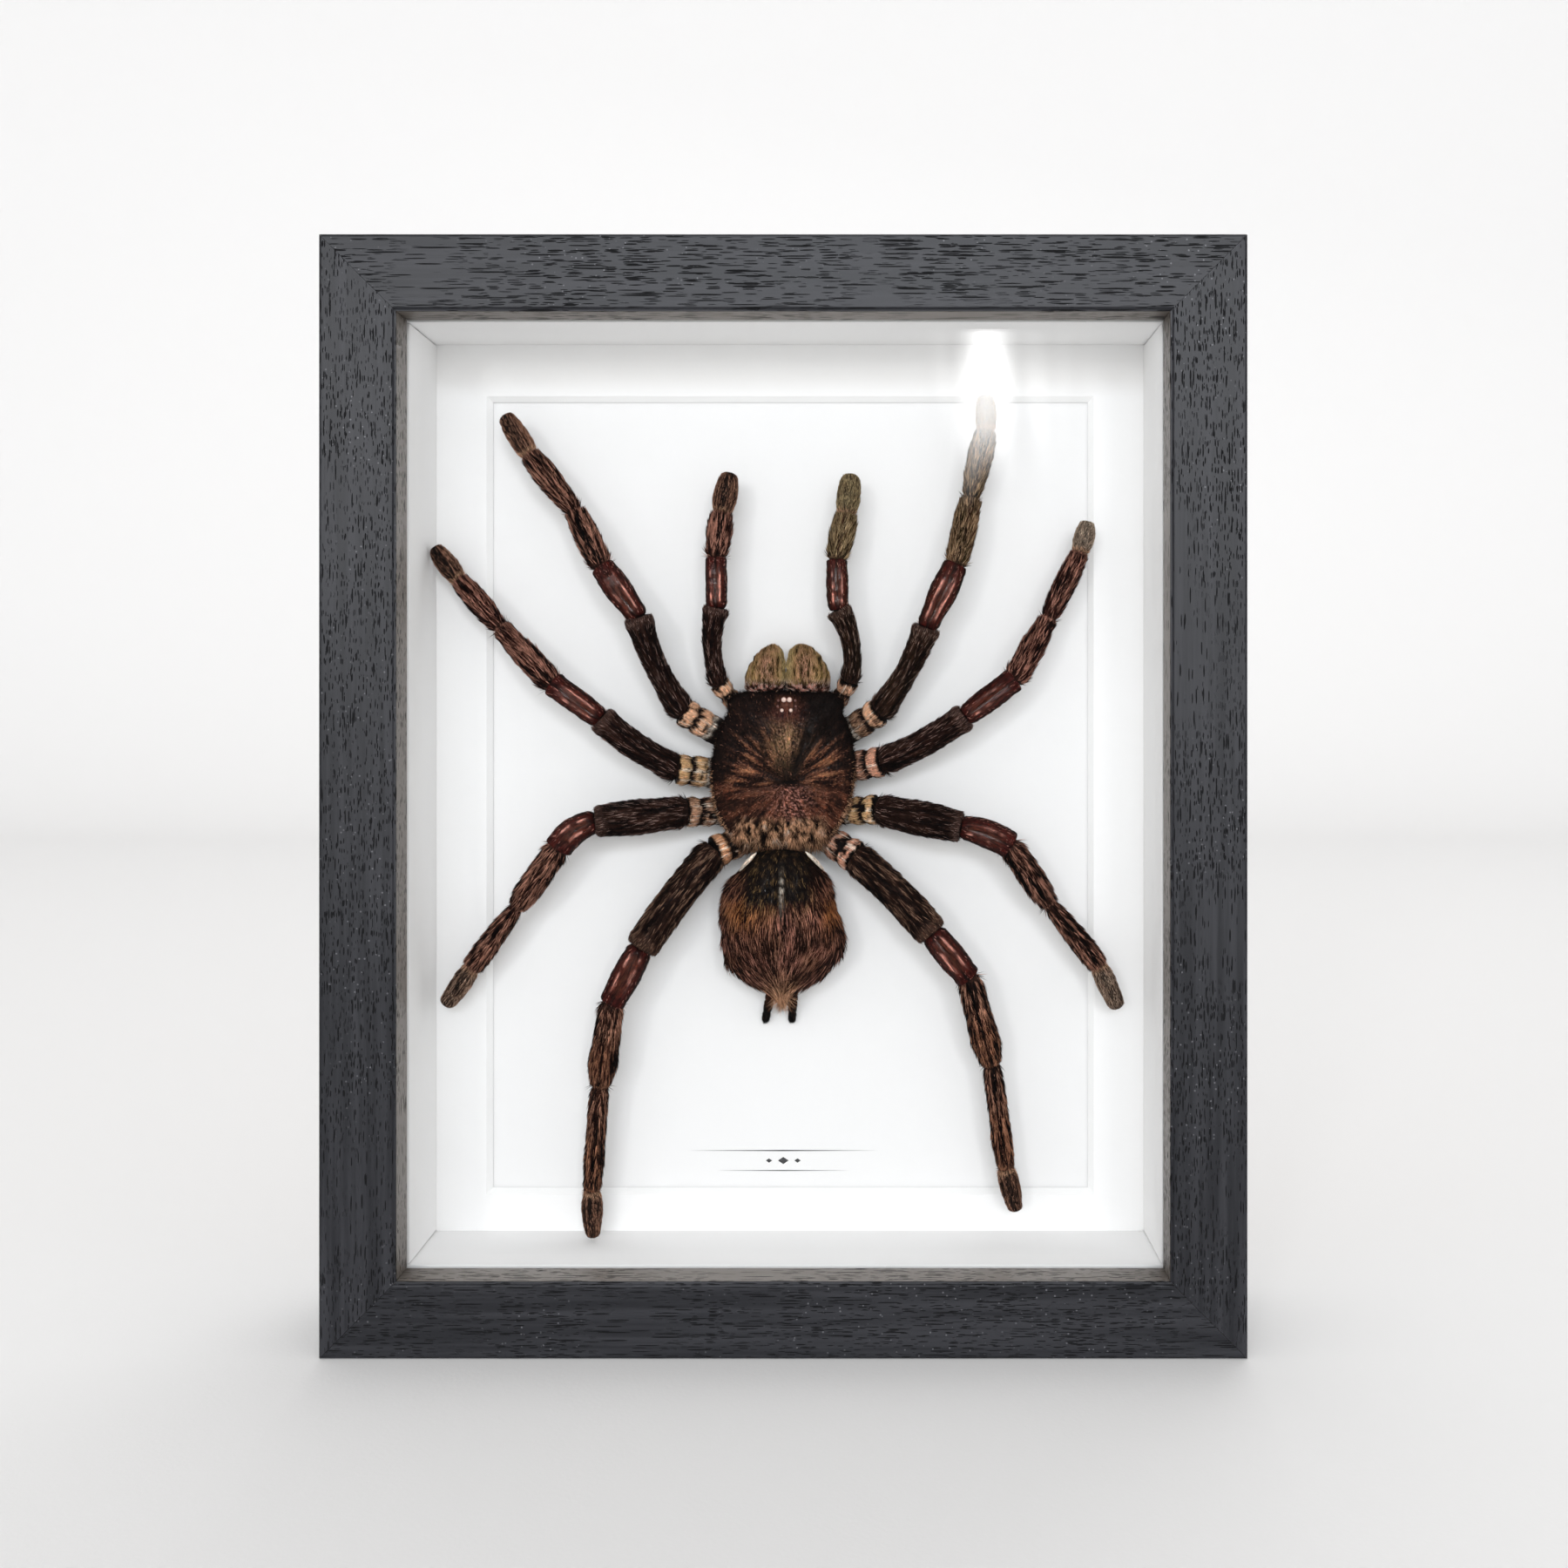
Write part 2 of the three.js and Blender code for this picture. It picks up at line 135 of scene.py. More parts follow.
def veilWindow(data):  # a soft upright streak among faint wisps instead of an even rectangle
    data.use_nodes = True
    tree = data.node_tree
    inside = addNode(tree, "NewGeometry").outputs["Parametric"]
    across = addNode(tree, "SeparateXYZ", {"Vector": inside})
    stretched = addNode(tree, "Mapping", {"Vector": inside, "Scale": (5.0, 0.7, 1.0)}).outputs["Vector"]
    wisps = addNode(tree, "TexNoise", {"Vector": stretched, "Scale": 1.0, "Detail": 1.0}).outputs["Fac"]
    offMiddle = calculate(tree, "ABSOLUTE", calculate(tree, "SUBTRACT", across.outputs["X"], windowVeil["middle"]))
    streak = ranged(tree, offMiddle, 0.0, windowVeil["halfWidth"], 1.0, 0.0)
    streak = calculate(tree, "MULTIPLY", calculate(tree, "MULTIPLY", streak, streak), windowVeil["streak"])
    strength = calculate(tree, "ADD", streak, ranged(tree, wisps, 0.35, 0.8, 0.0, windowVeil["wisps"]))
    sides = calculate(tree, "MULTIPLY", across.outputs["X"], calculate(tree, "SUBTRACT", 1.0, across.outputs["X"]))
    strength = calculate(tree, "MULTIPLY", strength, ranged(tree, sides, 0.0, 0.2))
    height = calculate(tree, "ADD", across.outputs["Y"], ranged(tree, wisps, 0.3, 0.7, -0.07, 0.07))
    strength = calculate(tree, "MULTIPLY", strength, ranged(tree, height, *windowVeil["bottomFade"]))
    topFade = ranged(tree, across.outputs["Y"], *windowVeil["topFade"], 0.16, 1.0)
    strength = calculate(tree, "MULTIPLY", strength, topFade)
    tree.links.new(strength, tree.nodes["Emission"].inputs["Strength"])


def placeStage():
    reach, start, radius = studio["floorReach"], studio["coveStart"], studio["coveRadius"]
    bm = bmesh.new()
    edge = [bm.verts.new((-reach, -reach, 0)), bm.verts.new((reach, -reach, 0))]
    line = [bm.edges.new(edge)]
    line = extrudeLine(bm, line, Matrix.Translation((0, reach + start, 0)))
    pivot = Vector((0, start, radius))
    turns = 16
    for _ in range(turns):
        turn = Matrix.Rotation(math.pi / 2 / turns, 4, "X")
        line = extrudeLine(bm, line, Matrix.Translation(pivot) @ turn @ Matrix.Translation(-pivot))
    extrudeLine(bm, line, Matrix.Translation((0, 0, studio["wallHeight"])))
    floor = linkMesh("floor", bm)
    material, tree, shader = newMaterial("paleFloor", roughness=0.7)
    shader.inputs["Base Color"].default_value = (*studio["floorColour"], 1)
    grain = addNode(tree, "TexNoise", {"Scale": 900.0, "Vector": objectPlace(tree)})
    addBump(tree, shader, grain.outputs["Fac"], 0.00004)
    floor.data.materials.append(material)
    floor.visible_glossy = False
    floor.visible_transmission = False


def extrudeLine(bm, edges, matrix):
    made = bmesh.ops.extrude_edge_only(bm, edges=edges)["geom"]
    verts = [item for item in made if isinstance(item, bmesh.types.BMVert)]
    bmesh.ops.transform(bm, matrix=matrix, verts=verts)
    return [item for item in made if isinstance(item, bmesh.types.BMEdge)]


def linkMesh(name, bm, smooth=True):
    mesh = bpy.data.meshes.new(name)
    bm.to_mesh(mesh)
    bm.free()
    piece = bpy.data.objects.new(name, mesh)
    bpy.context.scene.collection.objects.link(piece)
    if smooth:
        mesh.polygons.foreach_set("use_smooth", [True] * len(mesh.polygons))
    return piece


def addPiece(name, bm, materials, stands=(), smooth=True):
    bmesh.ops.recalc_face_normals(bm, faces=bm.faces)
    piece = linkMesh(name, bm, smooth)
    for material in materials:
        piece.data.materials.append(material)
    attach(piece, "root")
    if stands:
        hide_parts(*stands)
    return piece


def flatFaces(piece, angle=50):  # rounded edges blend into faces that stay flat
    piece.data.set_sharp_from_angle(angle=math.radians(angle))
    steady = piece.modifiers.new("flatFaces", "WEIGHTED_NORMAL")
    steady.keep_sharp = True
    steady.weight = 100


def roundEdges(bm, edges, radius, segments=2):
    bmesh.ops.bevel(
        bm, geom=edges, offset=radius, offset_type="OFFSET", segments=segments,
        profile=0.5, affect="EDGES", material=-1, clamp_overlap=True,
    )


def thicken(bm, faces, way):  # pushes a copy of the faces out, and returns its points
    grown = bmesh.ops.extrude_face_region(bm, geom=faces)["geom"]
    moved = [item for item in grown if isinstance(item, bmesh.types.BMVert)]
    bmesh.ops.translate(bm, verts=moved, vec=way)
    return moved


def mixed(low, high, share):
    return low + (high - low) * share


def blendTint(first, second, share):
    share = min(max(share, 0), 1)
    return tuple(mixed(a, b, share) for a, b in zip(first, second))


def eased(low, high, value):
    share = min(max((value - low) / (high - low), 0), 1)
    return share * share * (3 - 2 * share)


def bell(value, centre, width):
    return math.exp(-(((value - centre) / width) ** 2))


def throughPoints(values, share):  # a smooth curve through evenly spaced values
    last = len(values) - 1
    spot = min(max(share, 0), 1) * last
    index = min(int(spot), last - 1)
    t = spot - index
    before = values[max(index - 1, 0)]
    start, end = values[index], values[index + 1]
    after = values[min(index + 2, last)]
    return 0.5 * (
        2 * start
        + (end - before) * t
        + (2 * before - 5 * start + 4 * end - after) * t * t
        + (3 * start - before - 3 * end + after) * t**3
    )


def addNode(tree, kind, inputs=None, **settings):
    node = tree.nodes.new("ShaderNode" + kind)
    for name, value in settings.items():
        setattr(node, name, value)
    for name, value in (inputs or {}).items():
        if isinstance(value, bpy.types.NodeSocket):
            tree.links.new(value, node.inputs[name])
        else:
            node.inputs[name].default_value = value
    return node


def calculate(tree, operation, first, second=0.0):
    return addNode(tree, "Math", {0: first, 1: second}, operation=operation).outputs["Value"]


def ranged(tree, value, fromMin, fromMax, toMin=0.0, toMax=1.0):
    limits = {"Value": value, "From Min": fromMin, "From Max": fromMax, "To Min": toMin, "To Max": toMax}
    return addNode(tree, "MapRange", limits, interpolation_type="SMOOTHSTEP").outputs["Result"]


def blendColour(tree, share, first, second, kind="MIX"):
    node = addNode(tree, "Mix", data_type="RGBA", blend_type=kind)
    for socket, value in ((node.inputs["Factor"], share), (node.inputs[6], first), (node.inputs[7], second)):
        if isinstance(value, bpy.types.NodeSocket):
            tree.links.new(value, socket)
        elif isinstance(value, tuple):
            socket.default_value = (*value[:3], 1)
        else:
            socket.default_value = value
    return node.outputs[2]


def objectPlace(tree):
    return addNode(tree, "TexCoord").outputs["Object"]


def newMaterial(name, roughness=0.5):
    material = bpy.data.materials.new(name)
    material.use_nodes = True
    tree = material.node_tree
    shader = tree.nodes["Principled BSDF"]
    shader.inputs["Roughness"].default_value = roughness
    return material, tree, shader


def addBump(tree, shader, height, distance):
    bump = addNode(tree, "Bump", {"Height": height, "Distance": distance, "Strength": 1.0})
    tree.links.new(bump.outputs["Normal"], shader.inputs["Normal"])


def newGroup(name, inputs, outputs):
    group = bpy.data.node_groups.new(name, "ShaderNodeTree")
    for label, kind, value in inputs:
        socket = group.interface.new_socket(label, in_out="INPUT", socket_type="NodeSocket" + kind)
        if kind != "Vector":
            socket.default_value = value
    for label, kind in outputs:
        group.interface.new_socket(label, in_out="OUTPUT", socket_type="NodeSocket" + kind)
    entry = group.nodes.new("NodeGroupInput")
    leave = group.nodes.new("NodeGroupOutput")
    return group, entry.outputs, leave.inputs


def useGroup(tree, group, inputs):
    node = tree.nodes.new("ShaderNodeGroup")
    node.node_tree = group
    for name, value in inputs.items():
        if isinstance(value, bpy.types.NodeSocket):
            tree.links.new(value, node.inputs[name])
        else:
            node.inputs[name].default_value = value
    return node.outputs


def poreGroup():  # open pores of a coarse wood: short dashes that run along X
    group, given, result = newGroup(
        "openPores",
        [("Vector", "Vector", None), ("Length", "Float", 0.006), ("Width", "Float", 0.0007), ("Size", "Float", 0.2)],
        [("Pores", "Float")],
    )
    along = calculate(group, "DIVIDE", 1.0, given["Length"])
    across = calculate(group, "DIVIDE", 1.0, given["Width"])
    stretch = addNode(group, "CombineXYZ", {"X": along, "Y": across, "Z": across}).outputs["Vector"]
    place = addNode(group, "VectorMath", {0: given["Vector"], 1: stretch}, operation="MULTIPLY").outputs["Vector"]
    wobble = addNode(group, "TexNoise", {"Vector": place, "Scale": 0.35, "Detail": 2.0}).outputs["Color"]
    shifted = addNode(group, "VectorMath", {0: place, 1: wobble}, operation="ADD").outputs["Vector"]
    cells = addNode(group, "TexVoronoi", {"Vector": shifted, "Scale": 1.0, "Randomness": 1.0})
    chance = addNode(group, "SeparateColor", {"Color": cells.outputs["Color"]}).outputs["Red"]
    reach = calculate(group, "MULTIPLY", given["Size"], calculate(group, "ADD", chance, 0.35))
    inside = calculate(group, "SUBTRACT", 1.0, calculate(group, "DIVIDE", cells.outputs["Distance"], reach))
    group.links.new(ranged(group, inside, 0.0, 0.22), result["Pores"])
    return group


def streakGroup():  # long thin streaks: fine across Y and Z, drawn out along X
    group, given, result = newGroup(
        "drawnStreaks",
        [("Vector", "Vector", None), ("Along", "Float", 40.0), ("Across", "Float", 600.0)],
        [("Streaks", "Float")],
    )
    stretch = addNode(group, "CombineXYZ", {"X": given["Along"], "Y": given["Across"], "Z": given["Across"]})
    product = {0: given["Vector"], 1: stretch.outputs["Vector"]}
    place = addNode(group, "VectorMath", product, operation="MULTIPLY").outputs["Vector"]
    streaks = addNode(group, "TexNoise", {"Vector": place, "Scale": 1.0, "Detail": 4.0, "Roughness": 0.6})
    group.links.new(streaks.outputs["Fac"], result["Streaks"])
    return group


def fibreGroup():  # matted paper or wood fibre
    group, given, result = newGroup(
        "mattedFibre",
        [("Vector", "Vector", None), ("Scale", "Float", 1500.0)],
        [("Fibre", "Float"), ("Cloud", "Float")],
    )
    matted = {"Vector": given["Vector"], "Scale": given["Scale"], "Detail": 5.0, "Distortion": 1.6}
    warp = addNode(group, "TexNoise", matted)
    wide = calculate(group, "MULTIPLY", given["Scale"], 0.02)
    cloud = addNode(group, "TexNoise", {"Vector": given["Vector"], "Scale": wide, "Detail": 3.0})
    group.links.new(warp.outputs["Fac"], result["Fibre"])
    group.links.new(cloud.outputs["Fac"], result["Cloud"])
    return group


woodLook = {
    "stain": (0.0198, 0.0203, 0.0245),
    "worn": (0.037, 0.0375, 0.044),
    "pore": (0.003, 0.003, 0.004),
    # painted light: the lip's faces take a far paler copy of the wood, standing for the light the white box throws on
    # them
    "lip": (0.19, 0.165, 0.145),
    "fleck": (0.22, 0.22, 0.24),
    "poreDepth": 0.00024,
}
railGrain = {  # length and width of the long pores in metres, their size, the length of the short ones
    "rail_top": (0.0135, 0.00056, 0.3, 0.005),
    "rail_bottom": (0.012, 0.0005, 0.27, 0.0038),
    "rail_left": (0.0062, 0.0006, 0.26, 0.0024),
    "rail_right": (0.0062, 0.0006, 0.28, 0.0024),
}


def woodMaterial(name, node, upright, tint=None):
    material, tree, shader = newMaterial(name)
    turned = addNode(tree, "Mapping", {"Vector": objectPlace(tree)})
    if upright:
        turned.inputs["Rotation"].default_value = (0, math.pi / 2, 0)
    place = turned.outputs["Vector"]
    run, width, size, dash = railGrain[node]
    long = useGroup(tree, openPores, {"Vector": place, "Length": run, "Width": width, "Size": size})
    short = useGroup(tree, openPores, {"Vector": place, "Length": dash, "Width": width * 0.8, "Size": size + 0.06})
    flecks = addNode(tree, "TexVoronoi", {"Vector": place, "Scale": 560.0})
    isFleck = ranged(tree, flecks.outputs["Distance"], 0.1, 0.16, 0.5, 0.0)
    streaks = useGroup(tree, drawnStreaks, {"Vector": place, "Along": 14.0, "Across": 420.0})["Streaks"]
    patches = addNode(tree, "TexNoise", {"Vector": place, "Scale": 34.0, "Detail": 2.0}).outputs["Fac"]
    crowded = ranged(tree, patches, 0.34, 0.56)
    pores = calculate(tree, "MAXIMUM", long["Pores"], calculate(tree, "MULTIPLY", short["Pores"], crowded))
    body = blendColour(tree, ranged(tree, streaks, 0.35, 0.7), tint or woodLook["stain"], tint or woodLook["worn"])
    rare = calculate(tree, "MULTIPLY", isFleck, ranged(tree, patches, 0.43, 0.62))
    body = blendColour(tree, rare, body, woodLook["fleck"])
    colour = blendColour(tree, calculate(tree, "MULTIPLY", pores, 0.92), body, woodLook["pore"])
    tree.links.new(colour, shader.inputs["Base Color"])
    roughness = ranged(tree, pores, 0.0, 1.0, 0.38, 0.8)
    roughness = calculate(tree, "ADD", roughness, calculate(tree, "MULTIPLY", streaks, 0.12))
    tree.links.new(roughness, shader.inputs["Roughness"])
    raised = calculate(tree, "SUBTRACT", calculate(tree, "MULTIPLY", streaks, 0.22), pores)
    addBump(tree, shader, raised, woodLook["poreDepth"])
    return material


cardLook = {
    "white": (0.94, 0.937, 0.935),
    "shade": (0.91, 0.906, 0.903),
    "core": (0.96, 0.96, 0.955),
    # painted shade: the board's tones are a darker copy of the white card
    "board": (0.885, 0.882, 0.882),
    "boardShade": (0.86, 0.857, 0.856),
}


def cardMaterial(name, white, shade, fibreDepth=0.00003):
    material, tree, shader = newMaterial(name, roughness=0.82)
    fibre = useGroup(tree, mattedFibre, {"Vector": objectPlace(tree), "Scale": 1400.0})
    colour = blendColour(tree, ranged(tree, fibre["Cloud"], 0.3, 0.75, 0.0, 0.35), white, shade)
    flecked = blendColour(tree, ranged(tree, fibre["Fibre"], 0.62, 0.8, 0.0, 0.25), colour, shade)
    tree.links.new(flecked, shader.inputs["Base Color"])
    shader.inputs["Specular IOR Level"].default_value = 0.25
    addBump(tree, shader, fibre["Fibre"], fibreDepth)
    return material


hardboardLook = {"pale": (0.33, 0.205, 0.115), "dark": (0.19, 0.11, 0.06), "fleck": (0.09, 0.05, 0.03)}


def hardboardMaterial():
    material, tree, shader = newMaterial("hardboard", roughness=0.7)
    place = objectPlace(tree)
    fibre = useGroup(tree, mattedFibre, {"Vector": place, "Scale": 900.0})
    clouds = ranged(tree, fibre["Cloud"], 0.3, 0.7, 0.0, 0.3)
    colour = blendColour(tree, clouds, hardboardLook["pale"], hardboardLook["dark"])
    specks = addNode(tree, "TexVoronoi", {"Vector": place, "Scale": 620.0})
    isSpeck = ranged(tree, specks.outputs["Distance"], 0.16, 0.3, 1.0, 0.0)
    colour = blendColour(tree, calculate(tree, "MULTIPLY", isSpeck, 0.55), colour, hardboardLook["fleck"])
    colour = blendColour(tree, ranged(tree, fibre["Fibre"], 0.55, 0.75, 0.0, 0.5), colour, hardboardLook["dark"])
    tree.links.new(colour, shader.inputs["Base Color"])
    addBump(tree, shader, fibre["Fibre"], 0.00008)
    return material


steelLook = {"dull": (0.50, 0.51, 0.52), "bright": (0.66, 0.66, 0.65)}


def steelMaterial():
    material, tree, shader = newMaterial("zincSteel")
    place = objectPlace(tree)
    brushed = useGroup(tree, drawnStreaks, {"Vector": place, "Along": 300.0, "Across": 9000.0})["Streaks"]
    spangle = addNode(tree, "TexVoronoi", {"Vector": place, "Scale": 700.0}).outputs["Color"]
    tone = addNode(tree, "SeparateColor", {"Color": spangle}).outputs["Red"]
    colour = blendColour(tree, tone, steelLook["dull"], steelLook["bright"])
    tree.links.new(colour, shader.inputs["Base Color"])
    shader.inputs["Metallic"].default_value = 1.0
    tree.links.new(ranged(tree, brushed, 0.3, 0.7, 0.26, 0.46), shader.inputs["Roughness"])
    addBump(tree, shader, brushed, 0.00001)
    return material


glassLook = {"body": (0.996, 0.998, 0.996, 1), "passing": (0.975, 0.977, 0.975, 1), "ior": 1.45}


def glassMaterial():
    material, tree, shader = newMaterial("clearGlass", roughness=0.0)
    shader.inputs["Base Color"].default_value = glassLook["body"]
    shader.inputs["Transmission Weight"].default_value = 1.0
    shader.inputs["IOR"].default_value = glassLook["ior"]
    rays = addNode(tree, "LightPath")
    clear = addNode(tree, "BsdfTransparent", {"Color": glassLook["passing"]})
    passing = calculate(tree, "MAXIMUM", rays.outputs["Is Shadow Ray"], rays.outputs["Is Diffuse Ray"])
    blend = addNode(tree, "MixShader", {0: passing, 1: shader.outputs["BSDF"], 2: clear.outputs["BSDF"]})
    tree.links.new(blend.outputs["Shader"], tree.nodes["Material Output"].inputs["Surface"])
    return material


inkLook = {"full": (0.03, 0.03, 0.032), "thin": (0.06, 0.06, 0.062)}


def inkMaterial():
    material, tree, shader = newMaterial("printedInk", roughness=0.6)
    grain = addNode(tree, "TexNoise", {"Vector": objectPlace(tree), "Scale": 3000.0}).outputs["Fac"]
    tree.links.new(blendColour(tree, grain, inkLook["full"], inkLook["thin"]), shader.inputs["Base Color"])
    addBump(tree, shader, grain, 0.00001)
    return material


railShape = {  # metres
    "sightStep": 0.0005,
    "outerRound": 0.0009,
    "fineRound": 0.00016,
    "mitreGap": 0.00005,
    "lipDepth": 0.009,
    "lipOverhang": 0.0032,
}


def railMesh(length, face, depth):  # lies along X, its outer edge at z = 0, its front at -depth / 2
    step, lip = railShape["sightStep"], railShape["lipDepth"]
    rebate = face - railShape["lipOverhang"]
    front = -depth / 2
    section = [
        (front, 0), (front, face - 2 * step), (front + step, face - step), (front + step, face),
        (front + lip, face), (front + lip, rebate), (-front, rebate), (-front, 0),
    ]
    bm = bmesh.new()
    ends = [bm.verts.new((-length / 2, y, z)) for y, z in section]
    thicken(bm, [bm.faces.new(ends)], (length, 0, 0))
    bmesh.ops.recalc_face_normals(bm, faces=bm.faces)
    for side in (-1, 1):
        corner = Vector((side * (length / 2 - railShape["mitreGap"]), 0, 0))
        geometry = bm.verts[:] + bm.edges[:] + bm.faces[:]
        cut = bmesh.ops.bisect_plane(
            bm, geom=geometry, plane_co=corner, plane_no=(side, 0, 1), clear_outer=True
        )
        rim = [item for item in cut["geom_cut"] if isinstance(item, bmesh.types.BMEdge)]
        bmesh.ops.edgeloop_fill(bm, edges=rim)
    runs = [edge for edge in bm.edges if abs((edge.verts[0].co - edge.verts[1].co).normalized().x) > 0.999]
    outer = [edge for edge in runs if edge.verts[0].co.z < step]
    inner = [edge for edge in runs if edge.verts[0].co.z >= step]
    roundEdges(bm, outer, railShape["outerRound"], 5)
    roundEdges(bm, inner, railShape["fineRound"])
    return bm


def buildRails():
    low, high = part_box("rail_bottom")
    face, depth = high.z - low.z, high.y - low.y
    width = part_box("rail_right")[1].x * 2
    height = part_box("rail_top")[1].z
    middle = Vector((0, 0, height / 2))
    lip = railShape["lipDepth"]
    places = {  # length, reach from the middle, turn
        "rail_bottom": (width, height / 2, 0),
        "rail_left": (height, width / 2, 90),
        "rail_top": (width, height / 2, 180),
        "rail_right": (height, width / 2, -90),
    }
    for node, (length, reach, turn) in places.items():
        bm = railMesh(length, face, depth)
        for item in bm.faces:
            centre = item.calc_center_median()
            # the lip and rebate faces take the paler, painted-light copy of the wood
            onLip = centre.z > face - 0.0002 and item.normal.z > 0.9
            inRebate = centre.y > lip - depth / 2 - 0.0002 and 0.002 < centre.z < face
            item.material_index = 1 if onLip or (inRebate and item.normal.y < 0.9) else 0
        bmesh.ops.translate(bm, verts=bm.verts, vec=(0, 0, -reach))
        bmesh.ops.rotate(bm, verts=bm.verts, cent=(0, 0, 0), matrix=Matrix.Rotation(math.radians(turn), 3, "Y"))
        bmesh.ops.translate(bm, verts=bm.verts, vec=middle)
        upright = abs(turn) == 90
        materials = [woodMaterial(node + "_wood", node, upright)]
        materials.append(woodMaterial(node + "_lipWood", node, upright, woodLook["lip"]))
        flatFaces(addPiece(node + "_moulding", bm, materials, [node]))
    print("rails made")


def slab(low, high, rounding):
    bm = bmesh.new()
    size = high - low
    bmesh.ops.create_cube(bm, size=1, matrix=Matrix.Translation((low + high) / 2) @ Matrix.Diagonal((*size, 1)))
    roundEdges(bm, bm.edges[:], rounding)
    return bm


spacerReach = 0.00028  # metres that bring the strips up to the mat


def buildSheets():
    # painted shade: the board takes a darker copy of the white card than the mat and walls
    boardPaperShaded = cardMaterial("boardPaperShaded", cardLook["board"], cardLook["boardShade"])
    sheets = {  # finish, slot, edge rounding
        "glass": (glassMaterial(), "clear_glass", 0.0002),
        "specimen_board": (boardPaperShaded, "white_card", 0.00015),
        "back_panel": (hardboardMaterial(), "fibreboard", 0.0004),
        "spacer_top": (whiteCard, "white_card", 0.0002),
        "spacer_bottom": (whiteCard, "white_card", 0.0002),
        "spacer_left": (whiteCard, "white_card", 0.0002),
        "spacer_right": (whiteCard, "white_card", 0.0002),
    }
    for node, (material, slot, rounding) in sheets.items():
        low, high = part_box(node)
        if node.startswith("spacer"):
            high.y += spacerReach
        flatFaces(addPiece(node + "_sheet", slab(low, high, rounding), [material], [node]))
    print("glass, board, panel and spacers made")


matShape = {  # metres; the window sits a little below the middle
    "windowWidth": 0.1666,
    "windowHeight": 0.220,
    "drop": 0.0021,
    "rounding": 0.00008,
}


def buildMat():  # a sheet with a window whose edge is cut at 45 degrees, wider in front
    low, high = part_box("mat")
    thickness = high.y - low.y
    middle = (low + high) / 2
    bm = bmesh.new()
    facing = Matrix.Rotation(math.pi / 2, 4, "X")
    bmesh.ops.create_grid(bm, x_segments=1, y_segments=1, size=0.5, matrix=facing)
    bmesh.ops.scale(bm, vec=(high.x - low.x, 1, high.z - low.z), verts=bm.verts)
    bmesh.ops.translate(bm, vec=(middle.x, low.y, middle.z), verts=bm.verts)
    rim = bmesh.ops.inset_region(bm, faces=bm.faces[:], thickness=0.01, use_boundary=True, use_even_offset=True)
    window = [item for item in bm.faces if item not in rim["faces"]]
    corners = window[0].verts
    for vert in corners:
        side, rise = (1 if vert.co.x > 0 else -1), (1 if vert.co.z > middle.z else -1)
        vert.co.x = side * (matShape["windowWidth"] / 2 + thickness)
        vert.co.z = middle.z - matShape["drop"] + rise * (matShape["windowHeight"] / 2 + thickness)
    bmesh.ops.delete(bm, geom=window, context="FACES_ONLY")
    for vert in thicken(bm, bm.faces[:], (0, thickness, 0)):
        if abs(vert.co.x) < high.x - 0.001 and low.z + 0.001 < vert.co.z < high.z - 0.001:
            vert.co.x -= math.copysign(thickness, vert.co.x)
            vert.co.z -= math.copysign(thickness, vert.co.z - middle.z)
    roundEdges(bm, bm.edges[:], matShape["rounding"])
    for item in bm.faces:  # the bevelled cut shows the card's white core
        item.material_index = 1 if 0.5 < abs(item.normal.y) < 0.9 and item.calc_area() > 1e-5 else 0
    core = cardMaterial("cardCore", cardLook["core"], cardLook["white"], 0.00006)
    flatFaces(addPiece("mat_window", bm, [whiteCard, core], ["mat"]))
    print("mat made")


pointRounding = 0.00008  # metres


def buildPoints():  # flat glazing points, their sharp ends in the rebate
    for node in [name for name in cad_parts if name.startswith("point_")]:
        low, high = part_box(node)
        upright = "_left_" in node or "_right_" in node
        outward = {"left": (-1, 0), "right": (1, 0), "top": (0, 1), "bottom": (0, -1)}[node.split("_")[1]]
        centre = (low + high) / 2
        long, wide = (high.x - low.x, high.z - low.z) if upright else (high.z - low.z, high.x - low.x)
        bm = bmesh.new()
        bmesh.ops.create_grid(bm, x_segments=1, y_segments=2, size=0.5)  # y runs from tail to tip
        for vert in bm.verts:
            vert.co.x *= wide
            vert.co.y *= long
            if abs(vert.co.y) < long / 4:
                vert.co.y = long / 2 - wide / 2
        tips = [vert for vert in bm.verts if vert.co.y > long / 2 - 1e-5]
        bmesh.ops.pointmerge(bm, verts=tips, merge_co=(0, long / 2, 0))
        thicken(bm, bm.faces[:], (0, 0, high.y - low.y))
        roundEdges(bm, bm.edges[:], pointRounding)
        bmesh.ops.translate(bm, vec=(0, 0, -(high.y - low.y) / 2), verts=bm.verts)
        tipWay = Vector((outward[0], 0, outward[1]))
        depthWay = Vector((0, 1, 0))
        turn = Matrix((tipWay.cross(depthWay), tipWay, depthWay)).transposed().to_4x4()
        bmesh.ops.transform(bm, matrix=Matrix.Translation(centre) @ turn, verts=bm.verts)
        flatFaces(addPiece(node + "_strip", bm, [zincSteel], [node]))


hangerShape = {"pad": 0.005, "corner": 0.0012, "teeth": 9, "toothDepth": 0.0016, "rounding": 0.0001}


